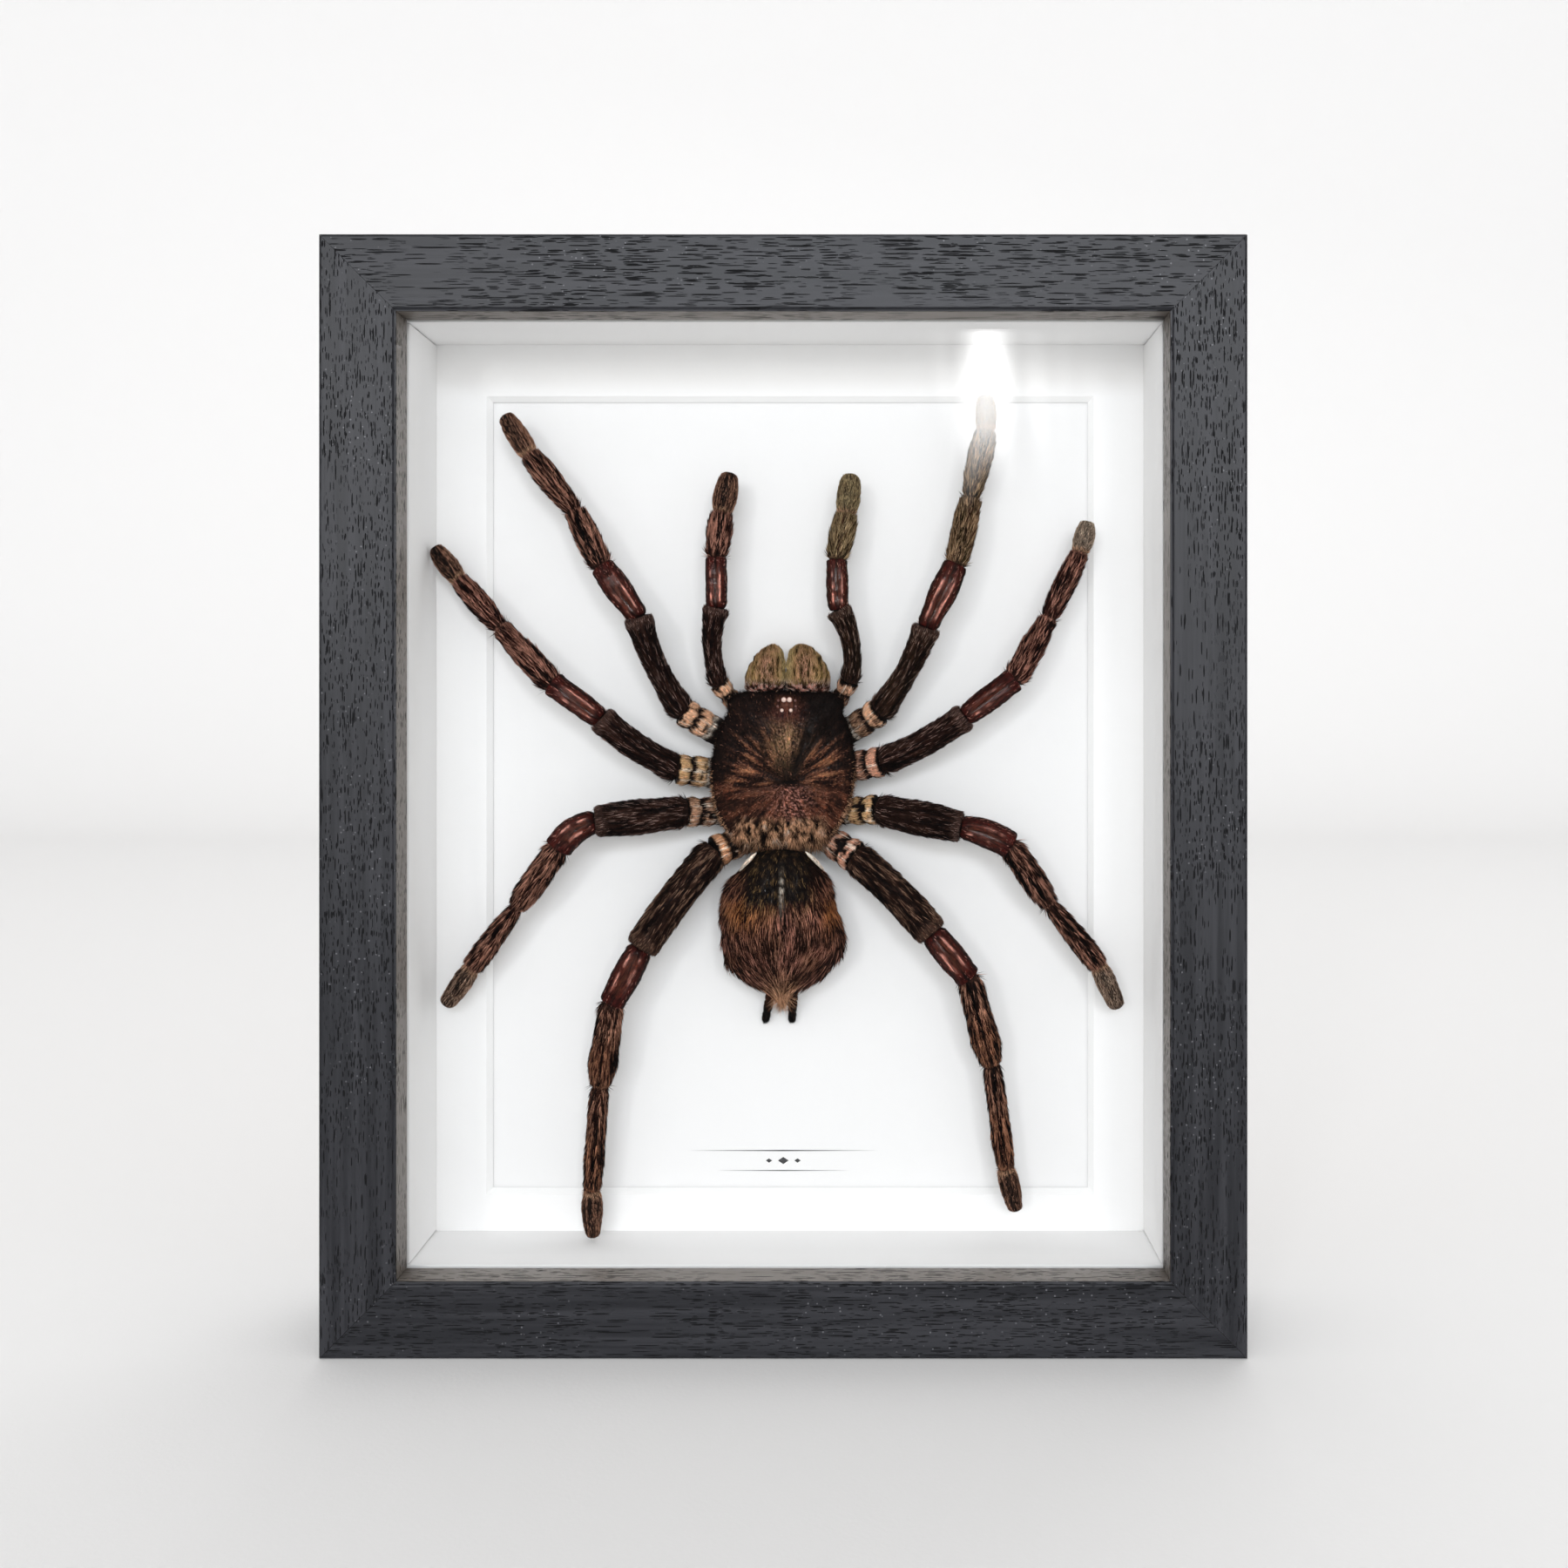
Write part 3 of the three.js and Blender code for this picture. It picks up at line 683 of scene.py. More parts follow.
def buildHanger():
    low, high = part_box("hanger")
    bm = bmesh.new()
    pad, corner, teeth = hangerShape["pad"], hangerShape["corner"], hangerShape["teeth"]
    outline = [(low.x, low.z + corner), (low.x + corner, low.z), (low.x + pad, low.z)]
    toothWidth = (high.x - low.x - 2 * pad) / teeth
    for tooth in range(teeth):
        x = low.x + pad + tooth * toothWidth
        outline += [(x + toothWidth / 2, low.z + hangerShape["toothDepth"]), (x + toothWidth, low.z)]
    outline += [
        (high.x - corner, low.z), (high.x, low.z + corner), (high.x, high.z - corner),
        (high.x - corner, high.z), (low.x + corner, high.z), (low.x, high.z - corner),
    ]
    face = bm.faces.new([bm.verts.new((x, low.y, z)) for x, z in outline])
    thicken(bm, [face], (0, high.y - low.y, 0))
    roundEdges(bm, bm.edges[:], hangerShape["rounding"])
    flatFaces(addPiece("hanger_strip", bm, [zincSteel], ["hanger"]))
    for node in ("nail_left", "nail_right"):
        low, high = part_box(node)
        centre = (low + high) / 2
        length, head = high.y - low.y, (high.x - low.x) / 2
        bm = bmesh.new()
        shank = head * 0.4
        profile = [  # radius and height, from the point to the head
            (0, 0), (shank * 0.6, 0.0007), (shank, 0.0014), (shank, length - 0.0009), (head, length - 0.0008),
            (head, length - 0.0004), (head * 0.8, length - 0.0001), (head * 0.4, length), (0, length),
        ]
        line = [bm.verts.new((x, low.y + y, 0)) for x, y in profile]
        edges = [bm.edges.new(pair) for pair in zip(line, line[1:])]
        bmesh.ops.spin(
            bm, geom=line + edges, cent=(0, 0, 0), axis=(0, 1, 0), angle=math.tau, steps=24, use_merge=True
        )
        bmesh.ops.remove_doubles(bm, verts=bm.verts, dist=weldDistance)
        bmesh.ops.translate(bm, vec=(centre.x, 0, centre.z), verts=bm.verts)
        flatFaces(addPiece(node + "_head", bm, [zincSteel], [node]))
    print("points, hanger and nails made")


captionShape = {  # mm: a printed ornament of two rules and a lozenge
    "centre": -2.0,
    "rules": ((41.6, 52.6, 0.34), (36.0, 37.0, 0.26)),
    "lozenge": (38.8, 1.5, 1.0),
    "inkThickness": 0.03,
}


def buildCaption():
    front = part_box("specimen_board")[0].y
    bm = bmesh.new()
    shapes = []
    for height, width, thick in captionShape["rules"]:
        shapes.append((captionShape["centre"], height, width / 2, thick / 2))
    centre = captionShape["centre"]
    height, across, tall = captionShape["lozenge"]
    shapes += [(centre + offset, height, across * size, tall * size) for offset, size in ((-4, 0.6), (0, 1), (4, 0.6))]
    for x, z, halfWide, halfTall in shapes:
        facing = Matrix.Rotation(math.pi / 2, 4, "X")
        place = Matrix.Translation((x * mm, front, z * mm)) @ Matrix.Diagonal((halfWide * mm, 1, halfTall * mm, 1))
        flat = bmesh.ops.create_circle(bm, cap_ends=True, radius=1, segments=4, matrix=place @ facing)["verts"]
        thicken(bm, [flat[0].link_faces[0]], (0, -captionShape["inkThickness"] * mm, 0))
    addPiece("caption_ornament", bm, [inkMaterial()], smooth=False)


tints = {
    "black": (0.0045, 0.0028, 0.0023),
    "umber": (0.019, 0.0072, 0.0046),
    "brown": (0.060, 0.024, 0.014),
    "chestnut": (0.13, 0.056, 0.038),
    "plum": (0.060, 0.032, 0.031),
    "wine": (0.080, 0.010, 0.007),
    "russet": (0.16, 0.048, 0.022),
    "tan": (0.46, 0.24, 0.155),
    "peach": (0.88, 0.52, 0.32),
    "pink": (0.74, 0.33, 0.26),
    "orange": (0.40, 0.15, 0.042),
    "olive": (0.125, 0.095, 0.028),
    "moss": (0.42, 0.32, 0.17),
    "ash": (0.58, 0.46, 0.35),
    "gold": (0.55, 0.39, 0.13),
    "grey": (0.26, 0.175, 0.155),
    "cream": (0.94, 0.85, 0.73),
}


coatLook = {  # colours that multiply the tint of skin or hair; the glint is a painted highlight
    "shade": (0.12, 0.08, 0.07),
    "paintedGlint": (2.1, 1.75, 1.55),
    "dull": (0.3, 0.2, 0.17),
}


def cuticleMaterial():
    material, tree, shader = newMaterial("driedCuticle")
    tint = addNode(tree, "Attribute", attribute_name="tint").outputs["Color"]
    place = addNode(tree, "Attribute", attribute_name="place").outputs["Vector"]
    gloss = addNode(tree, "Attribute", attribute_name="gloss").outputs["Fac"]
    streaks = useGroup(tree, drawnStreaks, {"Vector": place, "Along": 0.4, "Across": 4.0})["Streaks"]
    mottle = addNode(tree, "TexNoise", {"Vector": objectPlace(tree), "Scale": 1100.0, "Detail": 4.0}).outputs["Fac"]
    shaded = blendColour(tree, ranged(tree, streaks, 0.34, 0.6, 0.9, 0.0), tint, coatLook["shade"], "MULTIPLY")
    # painted highlight: mottled spots of the cuticle are brightened as glints
    lit = blendColour(tree, ranged(tree, mottle, 0.5, 0.72, 0.0, 0.8), shaded, coatLook["paintedGlint"], "MULTIPLY")
    tree.links.new(lit, shader.inputs["Base Color"])
    rough = calculate(tree, "ADD", ranged(tree, gloss, 0.0, 1.0, 0.6, 0.24), calculate(tree, "MULTIPLY", mottle, 0.12))
    tree.links.new(rough, shader.inputs["Roughness"])
    tree.links.new(calculate(tree, "MULTIPLY", gloss, 0.5), shader.inputs["Coat Weight"])
    shader.inputs["Specular IOR Level"].default_value = 0.05
    shader.inputs["Coat Roughness"].default_value = 0.2
    height = calculate(tree, "ADD", calculate(tree, "MULTIPLY", streaks, 0.8), calculate(tree, "MULTIPLY", mottle, 0.5))
    addBump(tree, shader, height, 0.0002)
    return material


def hairMaterial():
    material, tree, shader = newMaterial("bristle", roughness=0.5)
    tint = addNode(tree, "Attribute", attribute_name="tint").outputs["Color"]
    patches = addNode(tree, "TexNoise", {"Vector": objectPlace(tree), "Scale": 520.0, "Detail": 3.0}).outputs["Fac"]
    dulled = blendColour(tree, ranged(tree, patches, 0.38, 0.62, 0.4, 0.0), tint, coatLook["dull"], "MULTIPLY")
    tree.links.new(dulled, shader.inputs["Base Color"])
    shader.inputs["Specular IOR Level"].default_value = 0.015
    return material


def eyeMaterial():
    material, tree, shader = newMaterial("eyeLens", roughness=0.12)
    tint = addNode(tree, "Attribute", attribute_name="tint").outputs["Color"]
    cloud = addNode(tree, "TexNoise", {"Vector": objectPlace(tree), "Scale": 2600.0}).outputs["Fac"]
    clouded = blendColour(tree, ranged(tree, cloud, 0.4, 0.7, 0.0, 0.3), tint, tints["wine"])
    tree.links.new(clouded, shader.inputs["Base Color"])
    shader.inputs["Coat Weight"].default_value = 1.0
    shader.inputs["Coat Roughness"].default_value = 0.05
    return material


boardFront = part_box("specimen_board")[0].y / mm


def spot(x, lift, z):  # millimetres across, off the board and up
    return Vector((x * mm, (boardFront - lift) * mm, z * mm))


def newBody():
    bm = bmesh.new()
    layers = {
        "tint": bm.verts.layers.float_color.new("tint"),
        "place": bm.verts.layers.float_vector.new("place"),
        "gloss": bm.verts.layers.float.new("gloss"),
        "comb": bm.verts.layers.float_vector.new("comb"),
        "fur": bm.verts.layers.float.new("fur"),
        "furLength": bm.verts.layers.float.new("furLength"),
        "furShare": bm.verts.layers.float.new("furShare"),
        "furRise": bm.verts.layers.float.new("furRise"),
        "furTint": bm.verts.layers.float_color.new("furTint"),
        "paleTint": bm.verts.layers.float_color.new("paleTint"),
    }
    return bm, layers


def bendGrid(bm, layers, across, along, surface):
    made = bmesh.ops.create_grid(bm, x_segments=across, y_segments=along, size=0.5)["verts"]
    for vert in made:
        point, marks = surface(vert.co.x + 0.5, vert.co.y + 0.5)
        vert.co = point
        for name, value in marks.items():
            vert[layers[name]] = (*value, 1) if name.endswith("int") else value
    bmesh.ops.remove_doubles(bm, verts=made, dist=weldDistance)


# Limbs: hip in mm, then a length and a heading in degrees for each segment; a bow bends a segment to its left
limbPlans = {
    "leg_left_1": {
        "hip": (-17, 157.4), "lengths": (14.2, 28.1, 17, 16.8, 20.4, 13),
        "headings": (148, 114, 126, 117, 129, 122), "bows": {1: 1.35}, "widths": "first",
    },
    "leg_left_2": {
        "hip": (-17.4, 147.4), "lengths": (13.4, 24.5, 16.1, 21, 17.8, 11.4),
        "headings": (173, 145, 144, 134, 132, 127), "bows": {1: 0.9}, "widths": "second", "red": 0.5,
    },
    "leg_left_3": {
        "hip": (-17.4, 137.1), "lengths": (10.7, 24.2, 12.4, 20.1, 21.1, 12.9),
        "headings": (179, 185, 216, 234, 233, 235), "bows": {2: -1.2}, "widths": "third", "ashen": 0.4,
    },
    "leg_left_4": {
        "hip": (-11.5, 129.5), "lengths": (9.5, 32.1, 16.9, 23.3, 29.2, 13.1),
        "headings": (199, 233, 242, 261, 265, 271), "bows": {1: -0.6}, "widths": "fourth", "warm": 0.6,
    },
    "leg_right_1": {
        "hip": (14.1, 158.1), "lengths": (12.8, 26.2, 18.8, 18.4, 19.4, 9.9),
        "headings": (32, 61, 65, 77, 77, 91), "bows": {1: -1.1}, "widths": "first", "olive": 0.8,
    },
    "leg_right_2": {
        "hip": (13.8, 148.9), "lengths": (12.1, 25.7, 16.6, 18.9, 20.3, 9),
        "headings": (11, 29, 37, 60, 64, 75), "bows": {1: -0.9}, "widths": "second", "red": 0.6, "ashen": 0.9,
    },
    "leg_right_3": {
        "hip": (14, 137.1), "lengths": (10.5, 23, 14.2, 19.5, 21.9, 13),
        "headings": (5, -11, -21, -56, -51, -66), "bows": {2: 0.8}, "widths": "third", "ashen": 0.6,
    },
    "leg_right_4": {
        "hip": (8.7, 130.7), "lengths": (11.2, 29.1, 15.5, 24.9, 29.1, 12.2),
        "headings": (-31, -44, -51, -75, -82, -77), "bows": {1: 0.7}, "widths": "fourth", "warm": 0.6,
    },
    "palp_left": {
        "hip": (-14.7, 166.6), "lengths": (7.3, 20.8, 13.6, 12.2, 11.6),
        "headings": (127, 91, 91, 83, 80), "bows": {1: 1.5}, "widths": "palp", "red": 0.4,
    },
    "palp_right": {
        "hip": (12.9, 166.6), "lengths": (7.6, 19.7, 13.6, 12.6, 11.5),
        "headings": (60, 99, 92, 78, 83), "bows": {1: -1.9}, "widths": "palp", "olive": 1.0,
    },
}
limbWidths = {  # mm across each segment, from its base to its end
    "first": (
        (7.4, 8.2, 8.2), (8.0, 6.9, 6.5, 6.9, 8.0), (6.5, 7.0, 8.1, 7.9, 6.6),
        (6.2, 6.7, 7.0, 6.7, 5.8), (4.8, 6.0, 6.8, 6.9, 5.4), (5.3, 6.1, 6.2, 5.7, 4.6),
    ),
    "second": (
        (8.1, 8.9, 8.6), (8.1, 7.6, 7.6, 7.6, 7.8), (6.5, 7.2, 7.3, 7.0),
        (6.8, 6.9, 7.0, 6.1, 5.2), (4.5, 5.8, 6.3, 6.0, 4.8), (4.8, 6.0, 5.8, 4.3),
    ),
    "third": (
        (7.3, 8.3, 8.6), (8.7, 9.1, 9.7, 9.4, 8.3), (6.8, 7.9, 8.4, 7.7),
        (6.8, 7.0, 7.2, 6.9, 4.9), (4.3, 5.4, 6.0, 6.3, 5.5), (4.9, 6.0, 6.0, 5.5, 4.5),
    ),
    "fourth": (
        (7.7, 8.9, 9.5), (9.7, 9.4, 9.5, 9.6, 9.1), (7.5, 8.2, 8.4, 7.9, 7.1),
        (6.8, 7.2, 7.5, 7.9, 5.5), (5.2, 5.6, 5.5, 5.7, 4.8), (5.2, 6.2, 6.1, 5.3, 4.2),
    ),
    "palp": (
        (5.3, 5.7, 6.0), (5.7, 5.2, 5.1, 5.5, 6.2, 7.0), (6.0, 6.4, 6.5, 6.3, 5.7),
        (5.6, 6.4, 7.0, 6.8, 5.7), (5.4, 6.8, 6.9, 6.2, 4.6),
    ),
}
jointLifts = {  # mm off the board at each joint, from the hip to the tip
    "leg": (4.9, 9.2, 14.4, 14, 11.2, 9.6, 9),
    "palp": (5.4, 9, 12.5, 12, 10.2, 9),
}
segmentNames = {
    "leg": ("coxa", "femur", "patella", "tibia", "metatarsus", "tarsus"),
    "palp": ("coxa", "femur", "patella", "tibia", "tarsus"),
}
segmentLooks = {  # tints; ridge height in mm; share of pale strands; how long the fur is in mm, and how dense
    "coxa": {
        "skin": "umber", "fur": "umber", "pale": "peach", "ridge": 0.0, "strands": 0.8, "long": 1.4, "cover": 0.55,
    },
    "femur": {
        "skin": "umber", "fur": "umber", "pale": "grey", "ridge": 0.12, "strands": 0.3, "long": 2.1, "cover": 1.0,
    },
    "patella": {
        "skin": "wine", "fur": "umber", "pale": "pink", "ridge": 0.3, "strands": 0.5, "long": 1.0, "cover": 0.7,
    },
    "tibia": {
        "skin": "umber", "fur": "umber", "pale": "tan", "ridge": 0.22, "strands": 0.5, "long": 2.5, "cover": 1.0,
    },
    "metatarsus": {
        "skin": "umber", "fur": "umber", "pale": "tan", "ridge": 0.2, "strands": 0.56, "long": 2.4, "cover": 1.0,
    },
    "tarsus": {
        "skin": "black", "fur": "black", "pale": "brown", "ridge": 0.0, "strands": 0.6, "long": 1.2, "cover": 1.3,
    },
}
hipLooks = {  # tint of the bands of hair and the share of the inner band
    "leg_left_1": ("peach", 0.95), "leg_left_2": ("gold", 0.8),
    "leg_left_3": ("plum", 0.7), "leg_left_4": ("orange", 0.8),
    "leg_right_1": ("peach", 0.25), "leg_right_2": ("pink", 0.5),
    "leg_right_3": ("gold", 0.85), "leg_right_4": ("pink", 0.7),
    "palp_left": ("peach", 0.6), "palp_right": ("tan", 0.6),
}
limbShape = {
    "sides": 56,
    "ringStep": 0.7,  # mm
    "flatness": 0.94,
    "stripeAngle": 24,  # degrees from the top line of the limb
    "stripeWidth": 7,
    "furAllowance": 0.3,  # mm of each limb's outline that the hair fills
}
ringEnds = {  # how far along the segment, and the share of its radius, before and after its plain run
    "start": ((0.02, 0.0), (0.0, 0.5), (-0.02, 0.78), (0.015, 0.9), (0.05, 0.98)),
    "end": ((0.965, 1.0), (0.982, 0.96), (0.994, 0.88), (1.0, 0.76), (0.988, 0.62), (0.96, 0.0)),
    "tip": ((0.89, 1.0), (0.93, 0.95), (0.96, 0.85), (0.982, 0.68), (0.995, 0.42), (1.0, 0.0)),
}


def limbJoints(plan, lifts):
    x, z = plan["hip"]
    joints = [Vector((x, lifts[0], z))]
    for length, heading, lift in zip(plan["lengths"], plan["headings"], lifts[1:]):
        x += length * math.cos(math.radians(heading))
        z += length * math.sin(math.radians(heading))
        joints.append(Vector((x, lift, z)))
    return joints


def centreLine(start, end, bow):  # a slightly bowed line between two joints, in x, lift, z
    run = end - start
    left = Vector((-run.z, 0, run.x)).normalized()

    def at(share):
        return start + run * share + left * (bow * 4 * share * (1 - share))

    return at


def streakNoise(around, run, seed, count=5.5):  # strands that run along a limb
    angle = math.radians(around)
    x, y = math.cos(angle) * count, math.sin(angle) * count
    wide = noise.noise(Vector((x, y + seed, run * 0.09 + seed * 3)))
    return wide + 0.5 * noise.noise(Vector((x * 2.2, y * 2.2, run * 0.11 + seed)))


def segmentTints(kind, plan, around, share, length, seed):
    look = segmentLooks[kind]
    olive, red, warm = plan.get("olive", 0), plan.get("red", 0), plan.get("warm", 0)
    far = {"coxa": 0, "femur": 0.15, "patella": 0.3, "tibia": 0.9, "metatarsus": 1, "tarsus": 1}[kind]
    skin, fur, pale = tints[look["skin"]], tints[look["fur"]], tints[look["pale"]]
    fur = blendTint(fur, tints["olive"], olive * far * 0.75)
    fur = blendTint(fur, tints["wine"], red * far * 0.5)
    pale = blendTint(pale, tints["moss"], olive * far * 0.9)
    pale = blendTint(pale, tints["pink"], red * far * 0.5)
    if kind in ("tibia", "metatarsus"):
        pale = blendTint(pale, tints["orange"], warm * eased(0.2, 0.6, share) * 0.7)
    strand = streakNoise(around, share * length, seed)
    strands = eased(0.42, 0.62, 0.5 + strand - 0.3 * (0.5 - look["strands"])) * look["strands"]
    # the band along each flank of a limb, where the femur and tarsus are painted lighter as a rim sheen
    side = eased(48, 78, abs(around)) * (1 - eased(105, 130, abs(around)))
    half, width = limbShape["stripeAngle"], limbShape["stripeWidth"]
    wander = 6 * noise.noise(Vector((share * 3, seed, 1.7)))
    lines = max(bell(around, half + wander, width), bell(around, -half + wander, width))
    breaks = eased(-0.35, 0.15, noise.noise(Vector((share * 6, seed * 1.3, 2.0 if around > 0 else 5.0))))
    fade = eased(0.02, 0.16, share) * (1 - eased(0.62, 0.9, share))
    fur = blendTint(fur, tints["chestnut"], eased(-0.1, 0.5, strand) * (0.4 if kind == "femur" else 0.75))
    bare = 0
    if kind == "femur":
        gilded = plan.get("warm", 0)
        pale = blendTint(pale, blendTint(tints["tan"], tints["olive"], 0.45), gilded * 0.9 + 0.1)
        # painted sheen: the femur's flanks are painted plum and given more pale strands
        fur = blendTint(fur, tints["plum"], 0.45 * side)
        fur = blendTint(fur, tints["black"], eased(0.0, -0.25, strand) * 0.8)
        strands = eased(0.5, 0.85, 0.5 + strand) * (0.2 + 0.4 * gilded) + 0.08 * side + 0.03
        collar = eased(0.84, 0.93, share)
        fur = blendTint(fur, tints["chestnut"], collar * 0.45)
        strands = mixed(strands, 0.3, collar)
    elif kind == "patella":
        # the pink stripes on the bare ridges are partly their own pale colour and partly a painted highlight standing
        # for the ridges' gloss
        bright = lines * breaks * fade
        bare = max(bright, bell(around, 0, 40) * eased(0.02, 0.1, share) * (1 - eased(0.66, 0.9, share)))
        skin = blendTint(skin, tints["black"], 0.8 * bell(around, 0, 9) + 0.6 * max(-strand, 0))
        skin = blendTint(skin, tints["black"], 0.35)
        skin = blendTint(skin, tints["russet"], 0.25 * bell(around, 0, 36) * fade)
        skin = blendTint(skin, tints["pink"], bright * bright)
        skin = blendTint(skin, tints["black"], eased(46, 70, abs(around)) * 0.8)
        strands = strands * (1 - bare) * 0.5
    elif kind == "tarsus":
        fur = blendTint(tints["umber"], tints["chestnut"], eased(-0.1, 0.4, strand) * 0.6)
        fur = blendTint(fur, tints["black"], bell(around, 0, 20))
        # painted rim light: pale strands towards the tarsus's flanks, fewer along its top line
        strands = max(0.7 * side, eased(-0.1, 0.3, strand) * 0.7) * (1 - 0.7 * bell(around, 0, 14)) + 0.14
        pale = blendTint(blendTint(tints["tan"], tints["chestnut"], 0.2), tints["moss"], olive)
        pale = blendTint(pale, tints["ash"], plan.get("ashen", 0))
        strands = max(strands, olive * 0.6, plan.get("ashen", 0) * 0.65)
        ring = bell(share, 0.03, 0.04)
        pale = blendTint(pale, tints["peach"], ring)
        strands = max(strands, ring * 0.8)
    else:
        start = eased(0.0, 0.3, share) if kind == "metatarsus" else 1
        pale = blendTint(pale, tints["pink"], 0.3 * (1 - olive) * (1 - warm))
        parting = 1 - 0.75 * bell(around, 0, 10)
        strands = eased(-0.04, 0.34, strand) * look["strands"] * 1.3 * mixed(0.25, 1, start) * parting + 0.06
        strands = max(strands, lines * fade * breaks * 0.85, olive * 0.4)
        fur = blendTint(fur, tints["wine"], 0.3 * eased(-0.2, 0.3, strand))
        fur = blendTint(fur, tints["black"], eased(0.0, -0.3, strand) * 0.75 + 0.5 * bell(around, 0, 9))
        ending = bell(share, 0.98, 0.03)
        strands = max(strands, ending * 0.6)
    skin = blendTint(skin, pale, strands * 0.35 if kind != "patella" else 0)
    return skin, fur, pale, strands, bare


def coxaTints(name, around, share, length, seed):
    tint, innerShare = hipLooks[name]
    angle = math.radians(around)
    ragged = noise.noise(Vector((math.cos(angle) * 2.5, math.sin(angle) * 2.5, seed)))
    ragged += 0.6 * noise.noise(Vector((math.cos(angle) * 9, math.sin(angle) * 9, seed)))
    fromEnd = (1 - share) * length + 0.7 * ragged
    outerBand = eased(0.3, 0.8, fromEnd) * (1 - eased(2.8, 3.5, fromEnd))
    innerBand = eased(4.6, 5.3, fromEnd) * (1 - eased(7.4, 8.4, fromEnd))
    top = eased(115, 75, abs(around))
    strand = streakNoise(around, share * length, seed, 6)
    speck = noise.noise(Vector((around * 0.045, share * length * 1.5, seed + 4)))
    gap = noise.noise(Vector((around * 0.022, share * length * 0.3, seed)))
    band = max(outerBand, innerBand * innerShare) * top
    strands = band * mixed(0.8, 1, eased(-0.8, -0.3, strand)) * eased(-0.5, -0.25, speck) * eased(-0.6, -0.42, gap)
    membrane = bell(fromEnd, 8.9, 0.5) * top
    warm = blendTint(tints[tint], tints["peach"], 0.5)
    skin = blendTint(tints["black"], warm, strands)
    skin = blendTint(skin, tints["cream"], max(membrane * 0.8, strands * eased(0.2, 0.5, strand) * 0.7))
    pale = blendTint(warm, tints["tan"], 0.4 - strand)
    pale = blendTint(pale, tints["cream"], max(membrane, eased(0.15, 0.45, strand)))
    return skin, blendTint(tints["umber"], tints["chestnut"], strands), pale, max(strands, membrane * 0.8), 0


def limbSegment(bm, layers, name, index, kind, start, end, plan):
    look = segmentLooks[kind]
    widths = limbWidths[plan["widths"]][index]
    length = (end - start).length
    line = centreLine(start, end, plan["bows"].get(index, 0))
    last = index == len(plan["lengths"]) - 1
    seed = index * 2.7 + sum(map(ord, name)) * 0.37
    rings = max(int(length / limbShape["ringStep"]), 8)
    plainRun = [(share, 1.0) for share in np.linspace(0.09, 0.88 if last else 0.95, rings)]
    stations = [*ringEnds["start"], *plainRun, *(ringEnds["tip"] if last else ringEnds["end"])]
    count = len(stations) - 1
    half, width = limbShape["stripeAngle"], limbShape["stripeWidth"]

    def surface(u, v):
        share, tighten = stations[round(v * count)]
        turn = 2 * u - 1
        around = 180 * (0.6 * turn + 0.4 * turn**3)  # finer on the side that faces the glass
        angle = math.radians(around)
        centre = line(share)
        ahead = (line(share + 0.02) - line(share - 0.02)).normalized()
        up = Vector((0, 1, 0))
        up = (up - ahead * up.dot(ahead)).normalized()
        side = ahead.cross(up)
        radius = throughPoints(widths, share) / 2 - limbShape["furAllowance"]
        if kind == "coxa":
            fromEnd = (1 - share) * length
            radius -= 0.5 * bell(fromEnd, 4.0, 0.8) + 0.25 * bell(fromEnd, 8.4, 0.7)
        elif not last:
            radius += 0.22 * eased(0.84, 0.93, share)
        radius *= tighten
        ring = Vector((math.cos(angle) * 2.6, math.sin(angle) * 2.6, share * length * 0.12 + seed))
        ridges = bell(around, half, width) + bell(around, -half, width) - 0.6 * bell(around, 0, width)
        open = eased(0.02, 0.15, share) * (1 - eased(0.86, 0.97, share))
        radius += look["ridge"] * ridges * open + 0.2 * noise.noise(ring) * tighten
        radius += 0.14 * noise.noise(Vector((centre.x, centre.z, angle)) * 0.7) * tighten
        radius = max(radius, 0) if tighten else 0
        outward = up * math.cos(angle) * limbShape["flatness"] + side * math.sin(angle)
        point = centre + outward * radius
        if kind == "coxa":
            skin, fur, pale, strands, bare = coxaTints(name, around, share, length, seed)
        else:
            skin, fur, pale, strands, bare = segmentTints(kind, plan, around, share, length, seed)
        onCap = tighten < 0.9 and not last
        cover = look["cover"] * (1 - 0.92 * bare) * (0.45 if abs(around) > 115 else 1) * (0 if onCap else 1)
        gloss = 0.05 + 0.6 * bare
        flow = ahead + outward * 0.05
        fine = 4.5 if kind == "coxa" else 2  # how close together the streaks in the skin run
        return spot(*point), {
            "tint": skin,
            "place": (share * length, math.cos(angle) * fine, math.sin(angle) * fine),
            "gloss": gloss,
            "comb": Vector((flow.x, -flow.y, flow.z)),
            "fur": cover,
            "furLength": look["long"] * (1 - 0.55 * eased(0.82, 0.97, share)),
            "furShare": strands,
            "furTint": fur,
            "paleTint": pale,
        }

    bendGrid(bm, layers, limbShape["sides"], count, surface)


def buildLimbs():
    for number, (name, plan) in enumerate(limbPlans.items()):
        family = name.split("_")[0]
        joints = limbJoints(plan, jointLifts[family])
        bm, layers = newBody()
        for index, kind in enumerate(segmentNames[family]):
            limbSegment(bm, layers, name, index, kind, joints[index], joints[index + 1], plan)
        limb = addPiece(name + "_limb", bm, [cuticle], [name])
        growHair(name + "_hair", limb, family, number)
    print("limbs made")


def meshValues(mesh, name, size):
    values = np.zeros(len(mesh.vertices) * size, np.float32)
    key = {1: "value", 3: "vector", 4: "color"}[size]
    mesh.attributes[name].data.foreach_get(key, values)
    return values.reshape(-1, size)


def unit(vectors):
    return vectors / np.maximum(np.linalg.norm(vectors, axis=1, keepdims=True), 1e-12)


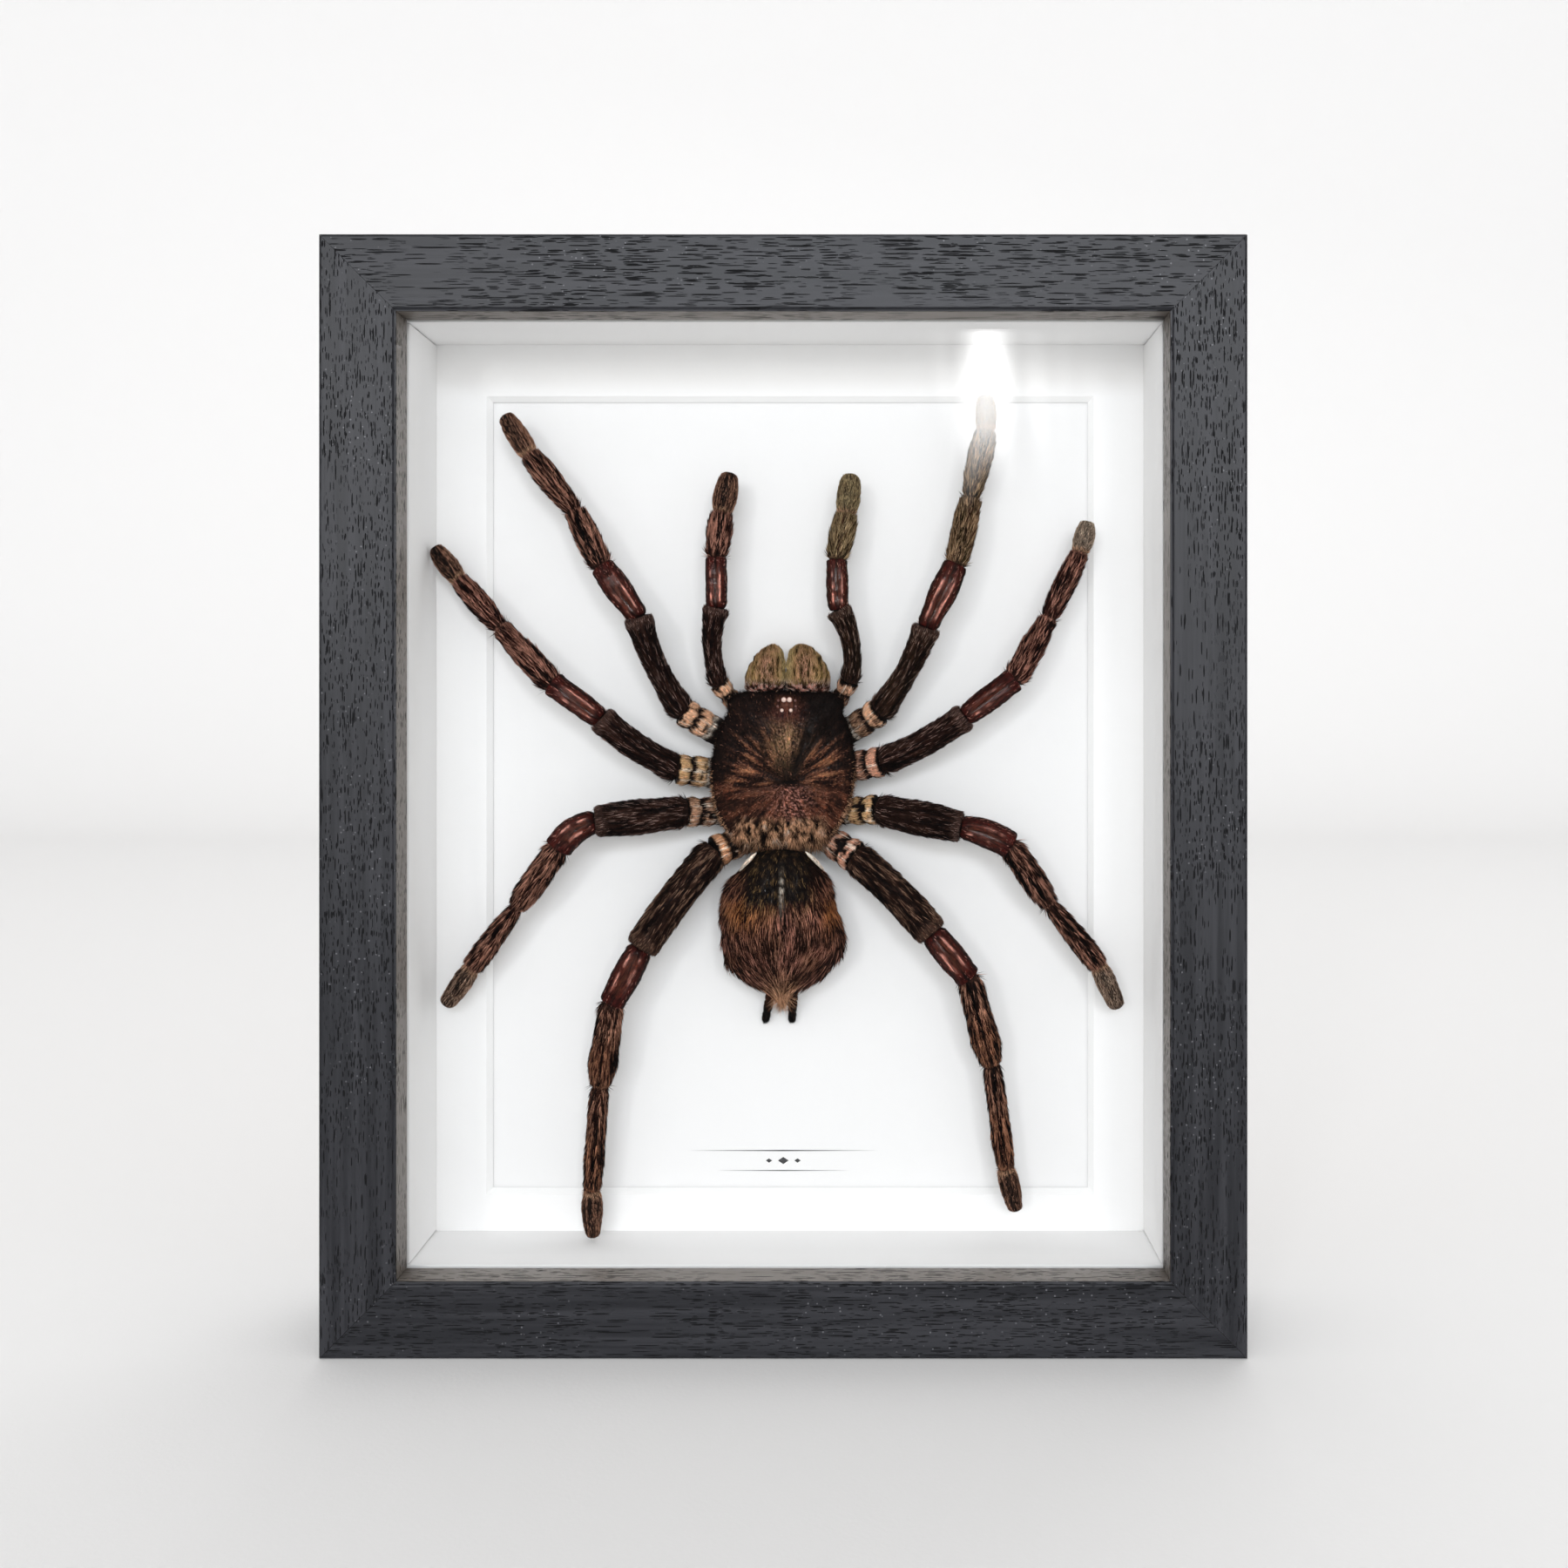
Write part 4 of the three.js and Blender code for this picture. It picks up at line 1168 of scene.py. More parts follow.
hairPlans = {  # hairs, mm thick, seed, lift off the skin, bend, sideways spread, unevenness of their tint
    "leg": (15000, 0.085, 20, 0.17, 0.0, 0.13, 0.3),
    "palp": (8500, 0.085, 20, 0.17, 0.0, 0.13, 0.3),
    "cephalothorax": (26000, 0.085, 3, 0.28, 0.0, 0.35, 0.5),
    "abdomen": (18500, 0.075, 5, 0.13, 0.3, 0.15, 0.3),
    "chelicera": (9000, 0.08, 40, 0.24, 0.0, 0.25, 0.5),
    "spinneret": (900, 0.06, 60, 0.3, 0.0, 0.3, 0.3),
}
hairTone = {
    "dark": 0.6,  # what dark hairs keep of their tint
    "tip": 1.15,  # how much lighter a hair is at its tip
    "least": 0.003,
    "most": 0.78,
}


def growHair(name, host, kind, number=0):
    count, thickness, seed, lift, bend, spread, unevenness = hairPlans[kind]
    mesh = host.data
    mesh.calc_loop_triangles()
    corners = np.zeros(len(mesh.loop_triangles) * 3, np.int32)
    mesh.loop_triangles.foreach_get("vertices", corners)
    corners = corners.reshape(-1, 3)
    points = np.zeros(len(mesh.vertices) * 3, np.float32)
    mesh.vertices.foreach_get("co", points)
    normals = np.zeros(len(mesh.vertices) * 3, np.float32)
    mesh.vertices.foreach_get("normal", normals)
    points, normals = points.reshape(-1, 3), normals.reshape(-1, 3)
    cover = meshValues(mesh, "fur", 1)[:, 0]
    a, b, c = (points[corners[:, k]] for k in range(3))
    area = np.linalg.norm(np.cross(b - a, c - a), axis=1)
    weight = area * cover[corners].mean(axis=1)
    rng = np.random.default_rng(seed + number)
    chosen = corners[rng.choice(len(corners), count, p=weight / weight.sum())]
    first, second = rng.random((2, count, 1))
    flip = first + second > 1
    first, second = np.where(flip, 1 - first, first), np.where(flip, 1 - second, second)
    shares = np.stack([1 - first - second, first, second], axis=1)

    def between(values):
        return (values[chosen] * shares).sum(axis=1)

    root, normal = between(points), unit(between(normals))
    comb = between(meshValues(mesh, "comb", 3))
    comb = unit(comb - normal * (comb * normal).sum(axis=1, keepdims=True) + 1e-9)
    sideways = np.cross(normal, comb)
    length = between(meshValues(mesh, "furLength", 1)) * mm * rng.uniform(0.55, 1.3, (count, 1))
    tint = between(meshValues(mesh, "furTint", 4))[:, :3]
    pale = between(meshValues(mesh, "paleTint", 4))[:, :3]
    tint = np.where(rng.random((count, 1)) < between(meshValues(mesh, "furShare", 1)), pale, tint * hairTone["dark"])
    rise = (lift + between(meshValues(mesh, "furRise", 1))) * rng.uniform(0.4, 1.5, (count, 1))
    way = unit(comb + normal * rise + sideways * rng.normal(0, spread, (count, 1)))
    onward = way + comb * bend + normal * rng.normal(0, 0.15, (count, 1))
    onward = unit(onward + sideways * rng.normal(0, spread * 0.6, (count, 1)))
    flat = unit(np.cross(way, normal))
    upper = np.cross(flat, way)
    radius = thickness * mm * rng.uniform(0.6, 1.25, (count, 1)) * np.clip(length / (1.6 * mm), 0.8, 1.5)
    turns = (-math.pi / 2, math.pi / 6, math.pi * 5 / 6)  # a flat side outwards
    ring = [(flat * math.cos(turn) + upper * math.sin(turn)) * radius for turn in turns]
    root = root - normal * 0.05 * mm
    rows = [root + spoke for spoke in ring]
    faces = [(0, 2, 1)]
    if bend:
        middle = root + way * length * 0.5
        rows += [middle + spoke * 0.75 for spoke in ring]
        rows.append(middle + onward * length * 0.5)
        for k in range(3):
            nextK = (k + 1) % 3
            faces += [(k, nextK, nextK + 3), (k, nextK + 3, k + 3), (k + 3, nextK + 3, 6)]
    else:
        rows.append(root + way * length)
        faces += [(0, 1, 3), (1, 2, 3), (2, 0, 3)]
    perHair = len(rows)
    verts = np.stack(rows, axis=1).reshape(-1, 3)
    allFaces = (np.arange(count)[:, None, None] * perHair + np.array(faces)[None]).reshape(-1, 3)
    tint = np.maximum(tint * np.exp(rng.normal(0, unevenness, (count, 1))), hairTone["least"])
    tint *= np.minimum(1, hairTone["most"] / tint.max(axis=1, keepdims=True))  # keeps the hue of the palest hairs
    rowTint = np.ones((count, perHair, 4), np.float32)
    rowTint[:, :, :3] = tint[:, None, :]
    rowTint[:, -1, :3] = tint * hairTone["tip"]
    hairMesh = bpy.data.meshes.new(name)
    hairMesh.from_pydata(verts.tolist(), [], allFaces.tolist())
    hairMesh.polygons.foreach_set("use_smooth", [True] * len(hairMesh.polygons))
    colours = hairMesh.attributes.new("tint", "FLOAT_COLOR", "POINT")
    colours.data.foreach_set("color", rowTint.ravel())
    hairMesh.materials.append(bristle)
    hair = bpy.data.objects.new(name, hairMesh)
    bpy.context.scene.collection.objects.link(hair)
    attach(hair, "root")


carapace = {
    "centre": (-1.4, 150.3),
    "skew": 0.035,
    "rim": 10.9,
    "top": 15.0,
    "fovea": (2.2, -4.5),
    "eyes": (0.5, 16.9),
    "outline": (  # half width and distance forward of the centre
        (0, 20.2), (7, 20.1), (12.6, 19.7), (15.7, 17.4), (15.6, 14.2), (17.2, 11), (18.5, 6.7), (19.3, 1.9),
        (19.6, -2.8), (19.2, -7.6), (18, -12.4), (16.3, -15.9), (14, -19), (10, -21), (0, -21.2),
    ),
    "grooves": (71, 25, -12, -48, 112, 157, 192, 228),  # degrees round the fovea; the dark wedge lies on the first
    "facets": (168, 84),
    "underside": (  # share of the outline and lift
        (1.004, 10.5), (0.99, 10.0), (0.94, 9.6), (0.82, 9.0), (0.69, 7.8), (0.65, 5.4), (0.6, 3.4),
        (0.46, 2.6), (0.22, 2.3), (0, 2.25),
    ),
}


def outlineReach(points):  # distance to a closed outline in each direction
    loop = [*points, *[(-x, z) for x, z in points[-2:0:-1]]]
    dense = []
    for index in range(len(loop)):
        spots = [loop[(index + k) % len(loop)] for k in (-1, 0, 1, 2)]
        for t in (0, 0.25, 0.5, 0.75):
            dense.append([throughPoints([point[k] for point in spots], (1 + t) / 3) for k in (0, 1)])
    return turnTable(dense, 0)


def closedReach(points):
    return turnTable(points, 2)


def turnTable(points, smoothings):  # looks up the distance to a ring of points by angle
    points = sorted((math.atan2(z, x), math.hypot(x, z)) for x, z in points)
    angles, reach = zip(*points)
    fine = np.linspace(-math.pi, math.pi, 361)[:-1]
    dense = np.interp(fine, angles, reach, period=math.tau)
    for _ in range(smoothings * 4):
        dense = (np.roll(dense, 1) + 2 * dense + np.roll(dense, -1)) / 4
    return lambda angle: float(np.interp(math.remainder(angle, math.tau), fine, dense, period=math.tau))


def fromFovea(x, z):
    fx, fz = x - carapace["fovea"][0], z - carapace["fovea"][1]
    angle, far = math.atan2(fz, fx), math.hypot(fx, fz)
    ray = 0.8 * noise.noise(Vector((math.cos(angle) * 9, math.sin(angle) * 9, far * 0.14)))
    ray += 0.6 * noise.noise(Vector((math.cos(angle) * 21, math.sin(angle) * 21, far * 0.2 + 5)))
    return fx, fz, angle, far, ray


def carapaceForm(x, z, share):
    fx, fz, _, far, ray = fromFovea(x, z)
    lift = mixed(carapace["rim"], carapace["top"], (1 - share**3.0) ** 0.9)
    headWidth = 3.2 + max(fz, 0) * 0.42
    head = eased(1.3, 0.7, abs(fx + 1.2) / headWidth) * eased(-1, 6, fz) * (1 - eased(22, 26, fz))
    lift += 0.6 * head * (1 - share**6)
    groove = 0
    for degrees in carapace["grooves"]:
        turn = math.radians(degrees)
        along = fx * math.cos(turn) + fz * math.sin(turn)
        across = fx * math.sin(turn) - fz * math.cos(turn)
        if along > 0:
            channel = bell(across, 0, 0.7 + along * 0.04) * eased(0.5, 4, along) * (1 - eased(10, 18, along))
            groove = max(groove, channel)
    lift -= 0.42 * groove
    pit = bell(fx, 0, 2.3) * bell(fz + 0.09 * fx * fx, 0, 0.75)
    lift -= 1.0 * pit
    ex, ez = x - carapace["eyes"][0], z - carapace["eyes"][1]
    mound = math.exp(-((ex / 2.5) ** 2) - ((ez / 1.9) ** 2))
    lift += 1.1 * mound
    rough = noise.noise(Vector((x, z, 3)) * 0.35) * 0.2 + noise.noise(Vector((x, z, 9)) * 1.2) * 0.14
    rough += 0.22 * ray * eased(1, 5, far)
    return lift + rough * (1 - share**8), groove, pit, mound


def carapaceTints(x, z, share, groove, pit, mound):
    fx, fz, _, far, ray = fromFovea(x, z)
    blotch = noise.noise(Vector((x * 0.3, z * 0.3, 5.0)))
    speck = noise.noise(Vector((x * 2.1, z * 2.1, 8.0)))
    lit = eased(-0.12, 0.25, ray + speck * 0.25)
    sides = bell(fz, 4, 7.5) * eased(2.5, 5.5, abs(fx + 1)) * (1 - eased(14.5, 17.5, abs(fx + 1)))
    rear = eased(0.5, -3, fz)
    middle = bell(fx, -1.4, 4.4) * bell(fz, 11.2, 5.6)
    tint = blendTint(tints["black"], tints["umber"], 0.35 + 0.8 * speck)
    tint = blendTint(tint, tints["brown"], 0.45 * eased(0, 0.3, speck) * eased(24, 8, far))
    tint = blendTint(tint, blendTint(tints["russet"], tints["chestnut"], 0.5), sides * lit * 0.85)
    gilt = blendTint(tints["orange"], tints["tan"], 0.4)
    tint = blendTint(tint, gilt, sides * eased(0.12, 0.5, ray + speck * 0.5) * 0.75)
    rust = blendTint(tints["russet"], tints["chestnut"], 0.3)
    tint = blendTint(tint, rust, rear * (0.15 + 0.85 * lit) * (0.7 + 0.6 * blotch))
    tint = blendTint(tint, tints["pink"], rear * bell(fx, 0.5, 5) * eased(0.02, 0.3, speck) * 0.75)
    bronze = blendTint(blendTint(tints["olive"], tints["gold"], 0.25), tints["tan"], 0.45 + 0.9 * speck)
    tint = blendTint(tint, bronze, middle * eased(-0.45, 0.25, ray * 0.4 + speck * 0.9 + blotch * 0.5) * 0.95)
    tint = blendTint(tint, tints["wine"], 0.6 * bell(fx, -1.5, 4.5) * bell(fz, 18, 2.6))
    tint = blendTint(tint, blendTint(tints["chestnut"], tints["russet"], 0.5), mound * 0.7)
    turn = math.radians(carapace["grooves"][0])
    across, along = fx * math.sin(turn) - fz * math.cos(turn), fx * math.cos(turn) + fz * math.sin(turn)
    wedge = bell(across, 0, 1.1 + 0.09 * max(along, 0)) * eased(1, 4, along)
    wedge = max(wedge, eased(9, 14, fz) * eased(2.5, 5, fx) * 0.85)
    tint = blendTint(tint, tints["black"], wedge * 0.92)
    # painted shade darkens the radial grooves; the foveal pit's black is partly its own dark mark and partly painted
    # shade
    tint = blendTint(tint, tints["black"], min(groove * 0.6 * lit + pit * 1.2, 1))
    behind = eased(-8.6, -11.5, fz) * eased(14, 9.5, abs(fx + 2.2))
    rim = eased(0.93, 0.98, share) * (1 - behind)
    tint = blendTint(tint, tints["black"], rim)
    pale = blendTint(tints["russet"], tints["chestnut"], 0.5 + blotch)
    pale = blendTint(pale, tints["tan"], 0.4 + middle * 0.4 + speck * 0.5)
    strands = (0.5 * max(sides, rear * 0.8, middle) * lit + 0.04) * (1 - wedge)
    if behind > 0.05 or rim > 0.3:
        bent = x * (1 + 0.035 * (z + 18)) + 0.8 * noise.noise(Vector((x * 0.3, z * 0.5, 1.0)))
        clump = noise.noise(Vector((bent * 0.95, z * 0.3, 2.0))) + 0.5 * noise.noise(Vector((bent * 2.3, z * 0.6, 6.0)))
        fringe = blendTint(tints["orange"], tints["peach"], 0.7)
        fringe = blendTint(fringe, tints["cream"], 0.8 * eased(0.3, 0.7, clump))
        pale = blendTint(pale, fringe, max(behind, rim))
        strands = mixed(strands, 0.95 * eased(-0.12, 0.16, clump), behind)
        tint = blendTint(tint, blendTint(tints["black"], fringe, strands), 0.95 * behind)
        strands = mixed(strands, 0.5 * eased(6, -4, fz), rim)
    return tint, pale, strands, behind, rim


def buildCephalothorax():
    reachAt = outlineReach(carapace["outline"])
    bm, layers = newBody()
    centreX, centreZ = carapace["centre"]

    def plan(angle, share):
        reach = reachAt(angle) * share
        x, z = reach * math.cos(angle), reach * math.sin(angle)
        return x, z, centreX + x + z * carapace["skew"], centreZ + z

    def shield(u, v):
        share = v**0.8
        x, z, worldX, worldZ = plan(math.tau * u, share)
        lift, groove, pit, mound = carapaceForm(x, z, share)
        tint, pale, strands, behind, rim = carapaceTints(x, z, share, groove, pit, mound)
        fx, fz, angle, far, _ = fromFovea(x, z)
        edge = eased(0.88, 0.97, share)
        outward = Vector((fx, 0, fz)).normalized() if far > 0.02 else Vector((0, 0, 1))
        comb = outward.lerp(Vector((0, 0, -1)), 0.9 * behind if fz < 0 else 0.1)
        swirl = 1.2 * bell(fx, -1.4, 5) * bell(fz, 11, 6)
        comb += swirl * Vector((noise.noise(Vector((x, z, 4.0)) * 0.6), 0, noise.noise(Vector((x, z, 13.0)) * 0.6)))
        comb.x += 1.6 * behind * noise.noise(Vector((x * 0.9, z * 0.25, 3.0)))
        return spot(worldX, lift, worldZ), {
            "tint": tint,
            "place": (far, math.cos(angle) * 9, math.sin(angle) * 9),
            "gloss": 0.1 * (1 - behind),
            "comb": comb,
            "fur": (0.5 + behind * (0.25 + 3.5 * edge) + 1.2 * rim) * (1 - min(mound * 1.6, 1)) * (1 - 0.7 * groove),
            "furLength": 0.8 + behind * (0.7 + 1.2 * noise.noise(Vector((x * 0.7, 0.0, 7.0))) + 2.4 * edge) + 0.5 * rim,
            "furRise": 0.2 * behind * edge,
            "furShare": strands,
            "furTint": blendTint(tint, tints["umber"], 0.35 * (1 - behind)),
            "paleTint": pale,
        }

    levels = carapace["underside"]

    def belly(u, v):
        scale, lift = levels[round(v * (len(levels) - 1))] if v > 0 else (1.0, None)
        x, z, worldX, worldZ = plan(math.tau * u, scale)
        if v == 0:
            lift = carapaceForm(x, z, 1.0)[0]
        return spot(worldX, lift, worldZ), {
            "tint": tints["brown"], "place": (x, z, lift), "gloss": 0.2, "comb": Vector((0, 0, -1)),
            "fur": 0.12, "furLength": 1.0, "furTint": tints["umber"], "paleTint": tints["tan"], "furShare": 0.2,
        }

    around, along = carapace["facets"]
    bendGrid(bm, layers, around, along, shield)
    bendGrid(bm, layers, around, len(levels) - 1, belly)
    bmesh.ops.remove_doubles(bm, verts=bm.verts, dist=weldDistance)
    addEyes(bm, layers)
    body = addPiece("cephalothorax_shield", bm, [cuticle, eyeLens], ["cephalothorax"])
    growHair("cephalothorax_hair", body, "cephalothorax")
    print("cephalothorax made")


eyeSpots = (  # mm from the middle of the eye mound, and radius: four pairs
    (0.76, 0.9, 0.9), (2.3, 0.7, 0.42), (1.2, -1.95, 0.68), (2.4, -0.9, 0.42),
)


def addEyes(bm, layers):
    ex, ez = carapace["eyes"]
    centreX, centreZ = carapace["centre"]
    for x, z, radius in eyeSpots:
        for side in (-1, 1):
            px, pz = ex + side * x, ez + z
            lift = carapaceForm(px, pz, 0.85)[0]
            place = spot(centreX + px + pz * carapace["skew"], lift + radius * (0.35 if z > 0 else 0.75), centreZ + pz)
            made = bmesh.ops.create_uvsphere(
                bm, u_segments=20, v_segments=14, radius=radius * mm, matrix=Matrix.Translation(place)
            )["verts"]
            for vert in made:
                facing = -(vert.co - place).normalized().y
                # the side of each large lens facing the front is painted pale: partly the dried lens's own milky tone,
                # partly a painted highlight standing for its glint
                milkAndGlint = eased(0.5, 0.92, facing) if radius > 0.6 else 0.1
                tone = blendTint(tints["wine"], blendTint(tints["cream"], tints["pink"], 0.4), milkAndGlint)
                vert[layers["tint"]] = (*tone, 1)
            for item in {face for vert in made for face in vert.link_faces}:
                item.material_index = 1


abdomen = {
    "centre": (-2.0, 107.6),
    "middleLift": 9.6,
    "upper": 8.9,
    "lower": 8.3,
    "outline": (  # right side then left, mm from the centre, clockwise from the front
        (0, 20.6), (6.2, 19.9), (10.2, 15.8), (12.8, 12.4), (14.2, 8.4), (15.0, 4.4), (16.6, 0), (17.7, -4.4),
        (17.4, -8.4), (15.4, -11.2), (12.7, -14.7), (9.6, -17), (5.5, -18.6), (0, -19.4), (-5.6, -18.7),
        (-9.8, -17), (-13, -14.4), (-15.6, -11.6), (-16.1, -8), (-16.8, -4.4), (-16.5, -1.8), (-17, 0.6),
        (-16.8, 4.2), (-16.1, 7.8), (-14.6, 11.3), (-11.2, 14.6), (-6.6, 19.6),
    ),
    "tuft": (0.4, -19.0),
    "facets": (140, 52),
}


def abdomenTints(x, z, patch, far, angle):
    strand = noise.noise(Vector((angle * 11, far * 0.1, 7.0))) + 0.5 * noise.noise(Vector((angle * 24, far * 0.2, 3.0)))
    blotch = noise.noise(Vector((x * 0.2, z * 0.18, 3.0)))
    speck = noise.noise(Vector((x * 0.9, z * 0.9, 11.0)))
    nearTuft = bell(far, 0, 6.5)
    tint = blendTint(tints["brown"], blendTint(tints["chestnut"], tints["plum"], 0.5), 0.5 + 0.8 * blotch)
    tint = blendTint(tint, tints["umber"], eased(0.05, -0.25, strand) * 0.8)
    tint = blendTint(tint, tints["russet"], eased(0, 0.35, strand) * 0.5)
    mottle = noise.noise(Vector((x * 0.7 + z * 0.2, z * 0.6 - x * 0.25, 17.0))) + 0.7 * speck
    sooty = blendTint(tints["olive"], tints["chestnut"], 0.5)
    sooty = blendTint(tints["black"], sooty, 0.3 * eased(-0.05, 0.5, mottle))
    tint = blendTint(tint, sooty, patch)
    midline = bell(x, 0.5, 0.5) * bell(z, 8.4, 3.6) * eased(-0.4, 0.1, noise.noise(Vector((0, z * 0.9, 1))))
    tint = blendTint(tint, tints["cream"], midline * 0.8)
    tint = blendTint(tint, blendTint(tints["tan"], tints["orange"], 0.3), nearTuft * eased(-0.2, 0.25, strand))
    pale = blendTint(blendTint(tints["tan"], tints["pink"], 0.4 + blotch), tints["russet"], 0.35)
    gilded = max(bell(x, -9, 6) * bell(z, 5, 5), bell(x, 13, 3) * bell(z, 5, 6))
    pale = blendTint(pale, tints["orange"], gilded * 0.9)
    pale = blendTint(pale, blendTint(tints["peach"], tints["orange"], 0.25), min(1, 1.4 * nearTuft))
    pale = blendTint(pale, blendTint(blendTint(tints["olive"], tints["gold"], 0.3), tints["chestnut"], 0.5), patch)
    strands = eased(0.05, 0.5, strand + 0.15 * blotch) * 0.55 + 0.15
    strands = mixed(strands, 0.45 * eased(0.05, 0.55, mottle) + 0.02, patch)
    tuftStrands = min(1, nearTuft * 1.3) * eased(-0.5, -0.1, strand)
    strands = max(strands + gilded * 0.3, tuftStrands, bell(x, 0.2, 1.2) * eased(3, -2, z) * 0.7)
    return tint, pale, strands, midline, nearTuft


def buildAbdomen():
    reachAt = closedReach(abdomen["outline"])
    centreX, centreZ = abdomen["centre"]
    tuftX, tuftZ = abdomen["tuft"]
    bm, layers = newBody()

    def skin(side):
        def surface(u, v):
            share = math.sin(v * math.pi / 2)
            reach = (reachAt(math.tau * u) - 0.6) * share
            x, z = reach * math.cos(math.tau * u), reach * math.sin(math.tau * u)
            height = (1 - share**2.5) ** 0.5 if share < 1 else 0
            lift = side * height * (abdomen["upper"] if side > 0 else abdomen["lower"])
            folds = 0.6 * noise.noise(Vector((x * 0.17, z * 0.12, side * 4.0)))
            folds += 0.3 * noise.noise(Vector((x * 0.5, z * 0.25, 2.0)))
            if side > 0:
                folds += 0.6 * bell(x, 0.5, 0.7) * bell(z, 9, 5) - 0.8 * bell(x, 2.4, 1.6) * bell(z, 10, 5)
                folds -= 0.7 * bell(x, -2.0, 1.6) * bell(z, 9, 5)
            lift += folds * height
            wave = 2 * noise.noise(Vector((x * 0.3, 0, 1)))
            patch = eased(10.5, 7.5, abs(x + 0.4)) * eased(2.5, 7, z + wave)
            tx, tz = tuftX - x, tuftZ - z
            far, angle = math.hypot(tx, tz), math.atan2(tx, -tz)
            toTuft = Vector((tx, 0, tz)).normalized()
            spreading = Vector((0.3 * math.tanh(x / 4), 0, -1)).normalized()
            comb = spreading.lerp(toTuft, eased(7, -8, z) * 0.9)
            straying = 0.3 * noise.noise(Vector((x * 0.8, 1.0, 2.0))) - 0.1 * (x - tuftX)
            comb = comb.lerp(Vector((straying, 0, -1)), bell(far, 0, 5))
            clump = noise.noise(Vector((x * 0.75, 2.0, 5.0)))
            tint, pale, strands, midline, nearTuft = abdomenTints(x, z, patch, far, angle)
            return spot(centreX + x, abdomen["middleLift"] + lift, centreZ + z), {
                "tint": tint,
                "place": (far, angle * 10, lift * 0.4),
                "gloss": 0.08,
                "comb": comb,
                "fur": (1.0 - 0.2 * patch + 1.4 * nearTuft) * (1 if side > 0 else 0.5) * (1 - 0.7 * midline),
                "furLength": mixed(4.0, 1.4, patch) + nearTuft * (2.6 + 4.5 * clump),
                "furRise": 1.1 * bell(far, 0, 5) * eased(0.75, 0.98, share),
                "furShare": strands,
                "furTint": blendTint(tint, tints["umber"], 0.35),
                "paleTint": pale,
            }
        return surface

    for side in (1, -1):
        bendGrid(bm, layers, *abdomen["facets"], skin(side))
    bmesh.ops.remove_doubles(bm, verts=bm.verts, dist=weldDistance)
    addShoulderFolds(bm, layers)
    body = addPiece("abdomen_skin", bm, [cuticle], ["abdomen"])
    growHair("abdomen_hair", body, "abdomen")
    print("abdomen made")


shoulderFolds = (  # mm: x, lift and z along each pale fold of skin
    ((-8.4, 14.4, 126.8), (-10.8, 13.8, 124.4), (-13.4, 12.0, 121.4)),
    ((4.7, 14.4, 127.1), (7.2, 13.8, 124.8), (9.9, 12.0, 121.5)),
)


def addShoulderFolds(bm, layers):
    for points in shoulderFolds:
        spots = [Vector(point) for point in points]

        def surface(u, v, spots=spots):
            share = v * 2
            index = min(int(share), 1)
            centre = spots[index].lerp(spots[index + 1], share - index)
            ahead = (spots[2] - spots[0]).normalized()
            up = (Vector((0, 1, 0)) - ahead * ahead.y).normalized()
            side = ahead.cross(up)
            radius = 0.55 * math.sin(math.pi * v) ** 0.6 if 0 < v < 1 else 0
            angle = math.tau * u
            point = centre + (up * math.cos(angle) + side * math.sin(angle)) * radius
            return spot(*point), {
                "tint": tints["cream"], "place": (share, u, 0), "gloss": 0.3, "fur": 0.5, "furLength": 0.8,
                "comb": Vector((ahead.x, -ahead.y, ahead.z)), "furTint": tints["tan"],
                "paleTint": tints["cream"], "furShare": 0.8,
            }

        bendGrid(bm, layers, 12, 16, surface)


chelicerae = {  # outline points in mm, from the inner base round the tip to the outer base
    "chelicera_left": {
        "centre": (-6.6, 176.6),
        "outline": (
            (5.1, -5.5), (5.3, -1), (5.1, 2.6), (4.5, 5.0), (3.4, 6.3), (1.6, 6.6), (-0.2, 5.7), (-2, 4.1),
            (-3.6, 1.6), (-4.9, -1.2), (-5.4, -4), (-5.2, -6.2), (0, -6.6),
        ),
    },
    "chelicera_right": {
        "centre": (5.4, 176.6),
        "outline": (
            (-5.7, -5.5), (-5.8, -1), (-5.6, 2.4), (-5.0, 4.9), (-3.6, 6.3), (-1.8, 6.7), (0.4, 6.1), (2.4, 4.4),
            (4.2, 1.8), (5.5, -1), (6.0, -4), (5.7, -6.2), (0, -6.6),
        ),
    },
}


def cheliceraTints(x, z, inner):
    strand = noise.noise(Vector((x * 1.5, z * 0.35, 4.0 * inner)))
    speck = noise.noise(Vector((x * 1.1, z * 1.1, 9.0 * inner)))
    heart = bell(x, 0.9 * inner, 2.5) * bell(z, -0.5, 5.2)
    base = eased(-3.4, -5.0, z)
    seam = eased(3.4, 5.0, x * inner)
    skin = blendTint(tints["chestnut"], tints["olive"], 0.6)
    skin = blendTint(skin, tints["black"], heart * eased(0.1, -0.3, speck) * 0.8)
    skin = blendTint(skin, tints["gold"], 0.8 * eased(-0.2, 0.2, strand) * (1 - heart) + 0.2 * seam)
    pale = blendTint(tints["gold"], tints["tan"], 0.35 + strand)
    pale = blendTint(pale, blendTint(tints["pink"], tints["peach"], 0.35), heart * 0.8)
    bright = max(seam * 0.9, eased(0.25, 0.5, strand) * 0.5)
    pale = blendTint(pale, blendTint(tints["gold"], tints["cream"], 0.15), bright)
    strands = eased(-0.3, 0.0, strand) * (0.95 - 0.2 * heart) + 0.05
    strands = max(strands, seam * 0.8)
    pearls = base * eased(-0.1, 0.25, noise.noise(Vector((x * 1.3, z * 0.9, 3.0 * inner))))
    pale = blendTint(pale, blendTint(tints["cream"], tints["pink"], 0.35), base)
    skin = blendTint(blendTint(skin, tints["umber"], base), tints["pink"], pearls)
    strands = mixed(strands, pearls, base)
    return skin, pale, strands, base, heart


